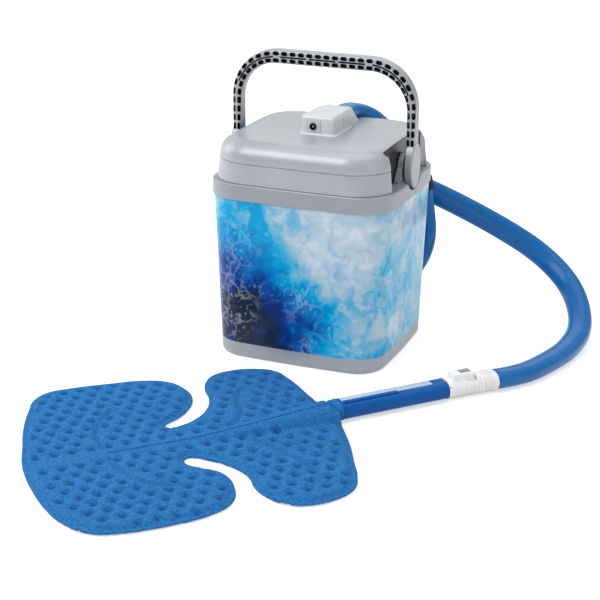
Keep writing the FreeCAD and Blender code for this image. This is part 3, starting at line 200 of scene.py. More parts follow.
# ------------ finishes
@dataclass(frozen=True)
class Finish:
    """A plain finish: one base colour with faint cloudiness, a fine grain and uneven gloss.

    The cloudiness is the slow change of tone that pigment and handling leave, and the grain is the
    texture of the tool or mould that made the surface. Grain finer than about a millimetre doesn't
    show from the camera's place, so it is drawn that coarse.
    """

    name: str
    colour: str
    roughness: float = 0.5
    metallic: float = 0.0
    ior: float = 1.5
    cloud_mm: float = 60.0
    cloud: float = 0.03
    cloud_detail: float = 3.0
    cloud_edge: float = 0.3
    grain_mm: float = 0.9
    grain_depth_mm: float = 0.02
    grain_detail: float = 2.0
    gloss_spread: float = 0.06
    coat: float = 0.0
    coat_roughness: float = 0.1
    sheen: float = 0.0
    transmission: float = 0.0

    def build(self) -> Material:
        """Makes a material whose shader takes this finish's colour, gloss and relief.

        Returns:
            The material.
        """
        material = bpy.data.materials.new(self.name)
        graph = Graph(material)
        settings = {
            "Base Color": self.base(graph),
            "Metallic": self.metallic,
            "Coat Weight": self.coat,
            "Coat Roughness": self.coat_roughness,
            "Sheen Weight": self.sheen,
            "Transmission Weight": self.transmission,
            **self.surface(graph),
        }
        if self.metallic < 0.5:
            settings["IOR"] = self.ior
        graph.add("OutputMaterial", {"Surface": graph.add("BsdfPrincipled", settings)})
        return material

    def base(self, graph: Graph) -> Node | NodeSocket:
        """Gives the base colour with its slow change of tone.

        Args:
            graph: The material's nodes.

        Returns:
            The colour's output.
        """
        cloud = graph.add("TexNoise", {**graph.sized(self.cloud_mm), "Detail": self.cloud_detail})
        dark, light = shifted(self.colour, 1 - self.cloud), shifted(self.colour, 1 + self.cloud)
        stops = [(self.cloud_edge, dark), (1 - self.cloud_edge, light)]
        return graph.add("ValToRGB", {"stops": stops, "Fac": cloud})

    def surface(self, graph: Graph) -> dict:
        """Gives a roughness with a small spread round its value, and a normal with the grain.

        Args:
            graph: The material's nodes.

        Returns:
            The settings of the shader.
        """
        grain = graph.add("TexNoise", {**graph.sized(self.grain_mm), "Detail": self.grain_detail})
        low = max(0.02, self.roughness - self.gloss_spread)
        high = min(1.0, self.roughness + self.gloss_spread)
        gloss = graph.add("MapRange", {"Value": grain, "To Min": low, "To Max": high})
        bump = {"Strength": 1.0, "Height": grain, "Distance": self.grain_depth_mm * MM}
        return {"Roughness": gloss, "Normal": graph.add("Bump", bump)}


@dataclass(frozen=True)
class NotchedPlastic(Finish):
    """Satin plastic of the lid, with painted shade on the walls of the side notches that the bail swings
    in.
    """

    # The painted shade's colour: near black, for the shade deep in the notches.
    painted_shade_colour: str = "#2E2F34"
    # How far from the middle the walls with painted shade start and end, and half their length.
    wall_x: tuple[float, float] = (86.6 * MM, 90.9 * MM)
    half_length: float = 57.2 * MM

    def base(self, graph: Graph) -> NodeSocket:
        """Adds the painted shade on the notches' walls: a near black that stands in for the shade deep in
        the slots.

        Args:
            graph: The material's nodes.

        Returns:
            The colour's output.
        """
        folded = graph.add("VectorMath ABSOLUTE", {0: graph.place})
        x, y, _ = graph.add("SeparateXYZ", {"Vector": folded}).outputs
        start, end = self.wall_x
        on_wall = graph.add("Math COMPARE", {0: x, 1: (start + end) / 2, 2: (end - start) / 2})
        between = graph.add("Math LESS_THAN", {0: y, 1: self.half_length})
        walls = graph.add("Math MULTIPLY", {0: on_wall, 1: between})
        return graph.cover(super().base(graph), walls, self.painted_shade_colour)


@dataclass(frozen=True)
class CoredPlastic(Finish):
    """Satin plastic of the bail, whose cored pockets are painted near black inside: painted shade, for the
    shade deep in them.
    """

    # The painted shade's colour in the pockets: near black.
    painted_shade_colour: str = "#15161A"
    # The bail's centre line: its legs, its bar and the corners between them.
    leg_x: float = 99.25 * MM
    bar_z: float = 315.75 * MM
    corner_radius: float = 46.5 * MM
    face_y: float = 6.6 * MM
    # The pockets' reach from that line at the foot of the corners and at the bar.
    pocket_z: tuple[float, float] = (262.0 * MM, 316.0 * MM)
    pocket_reach: tuple[float, float] = (4.1 * MM, 6.1 * MM)

    def base(self, graph: Graph) -> NodeSocket:
        """Adds the painted shade's near black where a point lies near the centre line and behind the face.

        The distance to the corner's middle, taken outside and inside of its square, stands
        against the corner's radius.

        Args:
            graph: The material's nodes.

        Returns:
            The colour's output.
        """
        corner = (self.leg_x - self.corner_radius, 0.0, self.bar_z - self.corner_radius)
        folded = graph.add("VectorMath ABSOLUTE", {0: graph.place})
        out = graph.add("VectorMath SUBTRACT", {0: folded, 1: corner})
        far = graph.add("VectorMath MAXIMUM", {0: out, 1: (0.0, 0.0, 0.0)})
        flat = graph.add("VectorMath MULTIPLY", {0: far, 1: (1.0, 0.0, 1.0)})
        outside = graph.add("VectorMath LENGTH", {0: flat})
        x, y, z = graph.add("SeparateXYZ", {"Vector": out}).outputs
        deeper = graph.add("Math MAXIMUM", {0: x, 1: z})
        inside = graph.add("Math MINIMUM", {0: deeper, 1: 0.0})
        distance = graph.add("Math ADD", {0: outside, 1: inside})
        low, high = (height - corner[2] for height in self.pocket_z)
        near, wide = self.pocket_reach
        growth = {"Value": z, "From Min": low, "From Max": high, "To Min": near, "To Max": wide}
        reach = graph.add("MapRange", growth)
        near_line = graph.add("Math COMPARE", {0: distance, 1: self.corner_radius, 2: reach})
        behind = graph.add("Math LESS_THAN", {0: y, 1: self.face_y})
        pockets = graph.add("Math MULTIPLY", {0: near_line, 1: behind})
        return graph.cover(super().base(graph), pockets, self.painted_shade_colour)


@dataclass(frozen=True)
class FrostFilm(Finish):
    """Glossy printed film with a plain design of drifting water and frost in cold blues."""

    slope: Point = (1.2, 0.4, 0.9)
    level: float = 0.46
    drift_mm: float = 70.0
    drift: float = 0.56
    # Middle, reach and height of the print's dark hollow and of its pale glow.
    hollow: tuple[Point, float, float] = ((-0.045, -0.090, 0.035), 0.125, -0.46)
    glow: tuple[Point, float, float] = ((0.045, -0.095, 0.150), 0.090, 0.22)
    ripple_mm: float = 15.0
    ripple_reach_mm: float = 22.0
    # Size and contrast of the frost's large shards and of the splinters between them.
    shards: tuple[tuple[float, float], ...] = ((26.0, 0.16), (8.0, 0.12))
    frost_mm: float = 5.0
    frost_colour: str = "#EAF3F8"
    # How far a shard's pale edge reaches, and how strong it and the fine frost are.
    edge_reach: float = 0.06
    edge_strength: float = 0.3
    frost_strength: float = 0.42
    # The noise values between which the fine frost and the loose patches fade in.
    frost_fade: tuple[float, float] = (0.54, 0.74)
    patch_fade: tuple[float, float] = (0.48, 0.66)
    tones: tuple[tuple[float, str], ...] = (
        (0.0, "#1E2C44"), (0.14, "#0D3F8E"), (0.27, "#0E62B4"), (0.38, "#0492D4"),
        (0.50, "#00B4E6"), (0.60, "#74C4E4"), (0.72, "#BCD6E6"), (0.90, "#E6EFF5"),
    )  # fmt: skip

    def base(self, graph: Graph) -> NodeSocket:
        """Lays the print's shards and frost over its drifting colour fields.

        Args:
            graph: The material's nodes.

        Returns:
            The colour's output.
        """
        ripple = graph.add("TexNoise", {**graph.sized(self.ripple_mm), "Detail": 2.0}).outputs["Color"]
        push = (self.ripple_reach_mm * MM,) * 3
        bent = {"Vector": graph.add("VectorMath MULTIPLY_ADD", {0: ripple, 1: push, 2: graph.place})}
        shade = self.fields(graph)
        for size, contrast in self.shards:
            cells = {**graph.sized(size), **bent, "feature": "SMOOTH_F1", "Smoothness": 0.3}
            colour = graph.add("TexVoronoi", cells).outputs["Color"]
            tone = graph.add("SeparateColor", {"Color": colour})
            shade = graph.add("Math MULTIPLY_ADD", {0: tone, 1: contrast, 2: shade})
        ramp = graph.add("ValToRGB", {"stops": self.tones, "Fac": shade})
        return graph.cover(ramp, self.frost(graph, bent), self.frost_colour)

    def fields(self, graph: Graph) -> Node:
        """Gives the print's slow change of tone, as a place on the ramp of its blues.

        Args:
            graph: The material's nodes.

        Returns:
            The node with that place.
        """
        slow = {**graph.sized(self.drift_mm), "Detail": 3.0, "Distortion": 1.1}
        drift = graph.add("TexNoise", slow)
        middle = self.level - (self.drift + sum(contrast for _, contrast in self.shards)) / 2
        shade = graph.add("Math MULTIPLY_ADD", {0: drift, 1: self.drift, 2: middle})
        rise = graph.add("VectorMath DOT_PRODUCT", {0: graph.place, 1: self.slope})
        shade = graph.add("Math ADD", {0: shade, 1: rise})
        for centre, reach, height in (self.hollow, self.glow):
            away = graph.add("VectorMath DISTANCE", {0: graph.place, 1: centre})
            fade = {"interpolation_type": "SMOOTHSTEP", "Value": away, "From Max": reach}
            share = graph.add("MapRange", {**fade, "To Min": height, "To Max": 0.0})
            shade = graph.add("Math ADD", {0: shade, 1: share})
        return shade

    def frost(self, graph: Graph, bent: dict) -> Node:
        """Gives the mask of the shards' pale edges and of fine frost, both in loose patches.

        Args:
            graph: The material's nodes.
            bent: The coordinates bent by the ripple, as the setting of a texture.

        Returns:
            The mask's node.
        """
        size = self.shards[0][0]
        edges = graph.add("TexVoronoi", {**graph.sized(size), **bent, "feature": "DISTANCE_TO_EDGE"})
        thin = {"Value": edges, "From Max": self.edge_reach, "To Min": self.edge_strength, "To Max": 0.0}
        grains = graph.add("TexNoise", {**graph.sized(self.frost_mm), "Detail": 8.0})
        low, high = self.frost_fade
        fine = {"Value": grains, "From Min": low, "From Max": high, "To Max": self.frost_strength}
        frosted = {0: graph.add("MapRange", thin), 1: graph.add("MapRange", fine)}
        patches = graph.add("TexNoise", {**graph.sized(2 * size), "Detail": 2.0})
        low, high = self.patch_fade
        where = graph.add("MapRange", {"Value": patches, "From Min": low, "From Max": high})
        return graph.add("Math MULTIPLY", {0: graph.add("Math MAXIMUM", frosted), 1: where})


@dataclass(frozen=True)
class Cloth(Finish):
    """Brushed or woven cloth: a finer mottle than plastic has, and threads for its grain."""

    cloud: float = 0.1
    cloud_mm: float = 4.0
    cloud_detail: float = 6.0
    cloud_edge: float = 0.32
    grain_mm: float = 1.2
    grain_depth_mm: float = 0.12
    grain_detail: float = 1.0


@dataclass(frozen=True)
class WeldedFleece(Cloth):
    """Brushed cloth, darker in its welds and dimples: partly the flattened nap's own tone, partly painted
    shade for the shade in those hollows.
    """

    # The welds' colour: the flattened nap's own darker blue, with painted shade.
    weld_nap_and_shade_colour: str = "#0F4686"

    def base(self, graph: Graph) -> NodeSocket:
        """Darkens the cloth in its welds, by how deep the mesh says that each point is pressed: the nap's
        own tone and painted shade.
        """
        pressed = graph.add("Attribute", {"attribute_name": "pressed"}).outputs["Fac"]
        return graph.cover(super().base(graph), pressed, self.weld_nap_and_shade_colour)


@dataclass(frozen=True)
class BeadFoam(Finish):
    """Expanded foam, whose beads show as rounded cells."""

    bead_mm: float = 3.5
    bead_depth_mm: float = 0.5

    def surface(self, graph: Graph) -> dict:
        """Gives an even roughness, and a normal with the beads' domes.

        Args:
            graph: The material's nodes.

        Returns:
            The settings of the shader.
        """
        beads = graph.add("TexVoronoi", graph.sized(self.bead_mm))
        domes = {"Strength": 1.0, "Height": beads, "Distance": self.bead_depth_mm * MM, "invert": True}
        return {"Roughness": self.roughness, "Normal": graph.add("Bump", domes)}


# Every finish, and the CAD parts that wear it.
WORN: tuple[tuple[Finish, str], ...] = (
    # High-impact styrene, moulded with a fine satin grain: an even, cool grey with soft highlights.
    (Finish("moulded_shell_plastic", "#A0A3AA", roughness=0.38, metallic=0.25, grain_mm=1.1),
     "outer_shell rim_collar"),
    # The lid is the same plastic, a little lighter, with a broad sheen over its dome.
    (NotchedPlastic("moulded_lid_plastic", "#B2B5BA", roughness=0.34, metallic=0.2, grain_mm=1.1),
     "lid_top"),
    # The pump cover is the same plastic in a paler tint; part of that paleness is painted light, for the
    # light that its leaning front catches.
    (Finish("moulded_cover_plastic", "#D9DBDD", roughness=0.3, metallic=0.05, grain_mm=1.1),
     "pump_cover jack_plate"),
    # The bail is glass-filled polypropylene: the same grey, with painted shade, near black, inside its
    # pockets.
    (CoredPlastic("moulded_bail_plastic", "#A8ABB0", roughness=0.36, metallic=0.25, grain_mm=1.1),
     "bail"),
    # Printed vinyl film under clear varnish: saturated, glossy, almost without grain.
    (FrostFilm("printed_varnished_film", "#1C7FCB", roughness=0.22, ior=1.22, grain_mm=6.0,
               gloss_spread=0.03, coat=0.05, coat_roughness=0.08), "wrap_sleeve"),
    # Polypropylene, moulded: white and a little waxy.
    (Finish("moulded_liner_plastic", "#DDE0E1", roughness=0.35), "ice_liner lid_underside"),
    # Expanded polystyrene: matt, off-white beads that are pressed together.
    (BeadFoam("expanded_bead_foam", "#ECE9DF", roughness=0.85), "foam_jacket lid_foam"),
    # Glass-filled nylon, moulded: near black and dull.
    (Finish("black_moulded_plastic", "#1A1B1D", roughness=0.5), "impeller"),
    # Black nickel on the jack's nut and barrel: dark, with a narrow bright rim.
    (Finish("black_nickel_plate", "#4A4B4D", roughness=0.25, metallic=1.0, grain_mm=0.4), "power_jack"),
    # Stainless steel, ground: pale grey metal with a soft glint.
    (Finish("ground_steel", "#B4B5B7", roughness=0.34, metallic=1.0, grain_mm=0.5),
     "lid_screws jack_pin pump_motor impeller_shaft latch_spring"),
    # Natural nylon, moulded: milky, slightly warm, with a silky gloss.
    (Finish("moulded_nylon", "#D6D5CE", roughness=0.45, grain_mm=1.0),
     "pump_stem pump_housing strainer motor_bracket"),
    # Nitrile rubber, moulded: black and matt.
    (Finish("moulded_seal_rubber", "#202123", roughness=0.7, grain_mm=0.8),
     "lid_gasket shaft_seal port_seals"),
    # Extruded silicone: milky, clear enough to glow at its edges.
    (Finish("extruded_silicone_tube", "#D9DEDF", roughness=0.3, ior=1.41, transmission=0.35),
     "supply_tube return_tube"),
    # Coated knit over closed-cell foam: royal blue, smooth, with a broad waxy highlight.
    (Cloth("coated_knit_hose_sleeve", "#0868AE", roughness=0.22, ior=1.37, cloud=0.04, cloud_mm=30.0,
           grain_mm=0.9, grain_depth_mm=0.02), "hose hose_boot"),
    # Vinyl film, welded: deeper blue than the hose, with a flatter gloss.
    (Cloth("welded_vinyl_sleeve", "#0058A6", roughness=0.25, ior=1.25, cloud=0.03, cloud_mm=25.0,
           grain_mm=2.5, grain_depth_mm=0.02), "pad_tube"),
    # Polypropylene webbing, woven: black and matt, with clear ribs.
    (Cloth("woven_black_webbing", "#1B1C20", roughness=0.8, cloud=0.2, grain_mm=1.4,
           grain_depth_mm=0.25), "hose_strap"),
    # Acetal, moulded: clean white with a tight, soft gloss.
    (Finish("moulded_white_acetal", "#F5F5F3", roughness=0.3, grain_mm=1.5),
     "coupling_socket coupling_plug"),
    # The button is tinted acetal: mid grey and duller.
    (Finish("moulded_grey_button", "#8E9094", roughness=0.45), "latch_button"),
    # Polyester label tape, woven and left blank: pale blue grey, almost without threads.
    (Cloth("blank_label_strip", "#BCCBD8", roughness=0.45, cloud=0.03, grain_depth_mm=0.02),
     "tube_label"),
    # Brushed loop fabric: matt mid blue with a short nap that catches light at its edges.
    (WeldedFleece("brushed_loop_pad_fabric", "#2870AE", roughness=0.85, ior=1.15, cloud=0.14,
                  cloud_mm=2.4, grain_mm=1.3, grain_depth_mm=0.1, sheen=0.05), "knee_pad pad_cuff"),
)  # fmt: skip


def dress(parts: dict[str, Object]) -> dict[str, Material]:
    """Builds every finish and gives it to its CAD parts.

    Args:
        parts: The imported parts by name.

    Returns:
        The finish of each CAD part.
    """
    worn = {}
    for finish, names in WORN:
        worn |= dict.fromkeys(names.split(), finish.build())
    for name, part in parts.items():
        part.data.materials.clear()
        part.data.materials.append(worn[name])
    LOG.info("dressed %d hard parts", len(parts))
    return worn


# ------------ mesh helpers
@dataclass(frozen=True)
class Station:
    """One flat-oval section of a swept sleeve."""

    centre: Vector
    heading: Vector
    across: Vector
    width: float
    height: float

    def frame(self) -> Matrix:
        """Gives the transform from a unit circle to this section.

        Returns:
            The transform.
        """
        heading = self.heading.normalized()
        across = (self.across - heading * self.across.dot(heading)).normalized()
        upright = heading.cross(across)
        columns = Matrix((across * (self.width / 2), upright * (self.height / 2), heading * self.width))
        frame = columns.transposed().to_4x4()
        frame.translation = self.centre
        return frame


def add_object(name: str, data: bpy.types.ID) -> Object:
    """Adds an object at the origin to the scene.

    Args:
        name: Name of the object.
        data: Its mesh, curve, lamp or camera.

    Returns:
        The object.
    """
    added = bpy.data.objects.new(name, data)
    bpy.context.scene.collection.objects.link(added)
    return added


def curve_points(points: list[Vector], resolution: int = 12) -> list[Vector]:
    """Reads a smooth line off a NURBS spline of order 3 that reaches both its ends.

    Args:
        points: The spline's control points.
        resolution: Steps for each control point.

    Returns:
        Points along the smooth line, from its start to its end.
    """
    curve = bpy.data.curves.new("line_scratch", "CURVE")
    curve.dimensions = "3D"
    curve.resolution_u = resolution
    spline = curve.splines.new("NURBS")
    spline.points.add(len(points) - 1)
    for target, point in zip(spline.points, points):
        target.co = (*point, 1.0)
    spline.order_u = 3
    spline.use_endpoint_u = True
    scratch = bpy.data.objects.new("line_scratch", curve)
    mesh = bpy.data.meshes.new_from_object(scratch)
    line = [vertex.co.copy() for vertex in mesh.vertices]
    bpy.data.objects.remove(scratch)
    bpy.data.curves.remove(curve)
    bpy.data.meshes.remove(mesh)
    return line


def headings(line: list[Vector]) -> list[Vector]:
    """Gives the direction of a line at each of its points.

    Args:
        line: Points along the line.

    Returns:
        One unit vector for each point.
    """
    ahead = line[1:] + [line[-1] * 2 - line[-2]]
    behind = [line[0] * 2 - line[1]] + line[:-1]
    return [(b - a).normalized() for a, b in zip(behind, ahead)]


def even_stations(line: list[Vector], across: Vector, width: float, height: float) -> list[Station]:
    """Gives sections of one size along a line, whose wide side points one way."""
    return [Station(centre, way, across, width, height) for centre, way in zip(line, headings(line))]


def ring_edges(verts: list[BMVert]) -> list[BMEdge]:
    """Gives the edges that join a ring of vertices."""
    ring = set(verts)
    return list({edge for vert in verts for edge in vert.link_edges if edge.other_vert(vert) in ring})


def sweep(name: str, stations: list[Station], segments: int = 32, squareness: float = 2.5) -> Object:
    """Sweeps a flat-oval section through stations and closes both ends.

    Args:
        name: Name of the new piece.
        stations: Sections from one end to the other.
        segments: Vertices round each section.
        squareness: 2 for an ellipse, more for a flatter-sided oval.

    Returns:
        A closed mesh with a UV map in metres, round and along the sleeve.
    """
    bm = bmesh.new()
    around = bm.verts.layers.float.new("around")
    along = bm.verts.layers.float.new("along")
    perimeter = math.pi * (stations[0].width + stations[0].height) / 2
    ring = bmesh.ops.create_circle(bm, segments=segments, radius=1.0)["verts"]
    for vert in ring:
        angle = math.atan2(vert.co.y, vert.co.x)
        vert[around] = angle / math.tau * perimeter
        sides = (abs(math.cos(angle)), abs(math.sin(angle)))
        reach = sum(side**squareness for side in sides) ** (-1 / squareness)
        vert.co = Vector((math.cos(angle) * reach, math.sin(angle) * reach, 0))
    frame = stations[0].frame()
    bmesh.ops.transform(bm, matrix=frame, verts=ring)
    first_edges, travelled = ring_edges(ring), 0.0
    edges = first_edges
    for before, station in zip(stations, stations[1:]):
        grown = bmesh.ops.extrude_edge_only(bm, edges=edges)["geom"]
        ring = [item for item in grown if isinstance(item, BMVert)]
        edges = ring_edges(ring)
        next_frame = station.frame()
        bmesh.ops.transform(bm, matrix=next_frame @ frame.inverted(), verts=ring)
        frame = next_frame
        travelled += (station.centre - before.centre).length
        for vert in ring:
            vert[along] = travelled
    bmesh.ops.holes_fill(bm, edges=first_edges + edges, sides=0)
    bmesh.ops.recalc_face_normals(bm, faces=bm.faces)
    uv = bm.loops.layers.uv.new("surface")
    for face in bm.faces:
        turns = [loop.vert[around] for loop in face.loops]
        wraps = max(turns) - min(turns) > perimeter / 2
        for loop, turn in zip(face.loops, turns):
            loop[uv].uv = (turn + perimeter if wraps and turn < 0 else turn, loop.vert[along])
    return finished(name, bm)


def finished(name: str, bm: BMesh) -> Object:
    """Turns a bmesh into a smooth object at the origin.

    Args:
        name: Name of the new piece.
        bm: Its geometry, which is freed.

    Returns:
        The new object, linked to the scene.
    """
    mesh = bpy.data.meshes.new(name)
    bm.to_mesh(mesh)
    bm.free()
    for polygon in mesh.polygons:
        polygon.use_smooth = True
    return add_object(name, mesh)


def on_floor(point: Vector) -> Vector:
    """Gives the floor's point below a point."""
    return Vector((point.x, point.y, 0))


def search_tree(points: list[Vector]) -> KDTree:
    """Gives a search tree of points, laid flat on the floor.

    Args:
        points: The points.

    Returns:
        The balanced tree.
    """
    tree = KDTree(len(points))
    for number, point in enumerate(points):
        tree.insert(on_floor(point), number)
    tree.balance()
    return tree


@dataclass
class Assembly:
    """A group of pieces that this script makes, with the finishes of the CAD parts."""

    worn: dict[str, Material]

    def place(self, piece: Object, part: str, slot: Slot, body: Body | None = None) -> Object:
        """Gives a new piece its finish and body.

        Args:
            piece: The new piece.
            part: CAD part whose finish it takes.
            slot: The record's slot that the finish stands for; not used.
            body: The body that it rides on, or None when it is tied some other way.

        Returns:
            The piece.
        """
        piece.data.materials.clear()
        piece.data.materials.append(self.worn[part])
        if body is not None:
            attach(piece, body.value)
        LOG.info("%s: %d faces", piece.name, len(piece.data.polygons))
        return piece


# ------------ hose
@dataclass
class Hose(Assembly):
    """The insulated flat-oval hose from the lid's boot to the coupling, with its storage strap."""

    width: float = 26.5 * MM
    height: float = 18.5 * MM
    length: float = 1.111
    strap_length: float = 20.0 * MM
    strap_thickness: float = 1.8 * MM
    strap_bevel: float = 0.5 * MM
    # Each corner of the route with the way that the wide side of the section points there.
    route: tuple[tuple[Point, Point], ...] = (
        ((0.0220, 0.1020, 0.2320), (0.7, -0.7, 0.0)),
        ((0.0420, 0.1200, 0.2090), (0.7, -0.7, 0.0)),
        ((0.0680, 0.1310, 0.1760), (0.6, -0.8, 0.1)),
        ((0.0740, 0.1340, 0.1330), (0.6, -0.8, 0.0)),
        ((0.0830, 0.1280, 0.0870), (0.5, -0.85, 0.0)),
        ((0.0630, 0.1220, 0.0430), (0.3, -0.95, 0.0)),
        ((0.0140, 0.1250, 0.0100), (0.1, -1.0, 0.0)),
        ((-0.0570, 0.1370, 0.0100), (0.0, -1.0, 0.0)),
        ((-0.1040, 0.1510, 0.0670), (0.0, -1.0, 0.0)),
        ((-0.0920, 0.1610, 0.1370), (0.0, -1.0, 0.0)),
        ((-0.0300, 0.1610, 0.1750), (0.0, -0.9, 0.2)),
        ((0.0370, 0.1520, 0.1520), (0.1, -0.6, 0.6)),
        ((0.0840, 0.1710, 0.1300), (0.3, 0.0, 0.9)),
        ((0.1500, 0.1840, 0.0980), (0.4, 0.1, 0.9)),
        ((0.2030, 0.1880, 0.0690), (0.4, 0.4, 0.8)),
        ((0.2470, 0.1650, 0.0400), (0.7, 0.4, 0.6)),
        ((0.2710, 0.1100, 0.0170), (0.95, 0.1, 0.2)),
        ((0.2690, 0.0560, 0.0096), (1.0, -0.1, 0.0)),
        ((0.2550, 0.0030, 0.0096), (1.0, -0.25, 0.0)),
        ((0.2377, -0.0396, 0.0100), (0.9, -0.4, 0.0)),
        ((0.2150, -0.0635, 0.0112), (0.725, -0.688, 0.0)),
    )
    strap_near: Point = (0.0710, 0.1325, 0.1545)
    # The point down to which the hose's first bend would follow the lid when that is lifted.
    blend_end: Point = (0.0220, 0.1020, 0.1800)

    def stations(self) -> list[Station]:
        """Gives sections along the hose's smooth line, flattened the way that it lies.

        Returns:
            The sections, from the boot to the coupling.
        """
        line = curve_points([Vector(point) for point, _ in self.route])
        spans = len(self.route) - 1
        sections = []
        for number, (centre, heading) in enumerate(zip(line, headings(line))):
            at = number / (len(line) - 1) * spans
            low = min(int(at), spans - 1)
            flat = Vector(self.route[low][1]).lerp(Vector(self.route[low + 1][1]), at - low)
            sections.append(Station(centre, heading, flat, self.width, self.height))
        return sections

    def build(self) -> None:
        """Makes the hose and its strap."""
        sections = self.stations()
        tube = self.place(sweep("hose_tube", sections), "hose", Slot.HOSE)
        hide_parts("hose")
        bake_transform(tube)
        strap = self.build_strap(sections)

    def build_strap(self, sections: list[Station]) -> Object:
        """Makes the band of webbing that gathers the hose behind the cooler.

        Args:
            sections: The hose's sections.

        Returns:
            The strap.
        """
        target = Vector(self.strap_near)
        middle = min(sections, key=lambda section: (section.centre - target).length).centre
        grow = 2 * self.strap_thickness
        kept = [
            replace(section, width=section.width + grow, height=section.height + grow)
            for section in sections
            if (section.centre - middle).length <= self.strap_length / 2
        ]
        strap = sweep("storage_strap", kept)
        bevel = strap.modifiers.new("soft_edges", "BEVEL")
        bevel.width, bevel.segments = self.strap_bevel, 2
        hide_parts("hose_strap")
        return self.place(strap, "hose_strap", Slot.STRAP, Body.TUB)


@dataclass
class Boot(Assembly):
    """The hose's flattened end, out of the pump cover and over the lid's rear edge."""

    line: tuple[Point, ...] = (
        (0.0020, 0.0410, 0.2480),
        (0.0020, 0.0500, 0.2480),
        (0.0022, 0.0620, 0.2480),
        (0.0046, 0.0735, 0.2472),
        (0.0106, 0.0850, 0.2434),
        (0.0164, 0.0942, 0.2384),
        (0.0220, 0.1020, 0.2320),
    )
    line_steps: int = 8
    start_across: Point = (1.0, 0.0, 0.0)
    start_width: float = 24.6 * MM
    start_height: float = 14.4 * MM
    end_heading: Point = (0.565, 0.508, -0.650)
    end_across: Point = (0.7, -0.7, 0.0)
    end_width: float = 27.0 * MM
    end_height: float = 19.0 * MM
    # Powers above 1 put the twist and the swelling nearer to the hose.
    twist_power: float = 2.0
    swell_power: float = 1.5

    def build(self) -> None:
        """Makes the boot, which twists and swells from the cover to the hose."""
        line = curve_points([Vector(point) for point in self.line], self.line_steps)
        ways = headings(line)
        ways[-1] = Vector(self.end_heading)
        sections = []
        for number, (centre, heading) in enumerate(zip(line, ways)):
            share = number / (len(line) - 1)
            across = Vector(self.start_across).lerp(Vector(self.end_across), share**self.twist_power)
            width = self.start_width + share * (self.end_width - self.start_width)
            height = self.start_height + share**self.swell_power * (self.end_height - self.start_height)
            sections.append(Station(centre, heading, across, width, height))
        boot = self.place(sweep("hose_boot_sleeve", sections), "hose_boot", Slot.HOSE, Body.LID)
        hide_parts("hose_boot")


# ------------ knee pad
def bell(distance: float) -> float:
    """Gives a bell curve that is 1 at no distance."""
    return math.exp(-(distance**2))


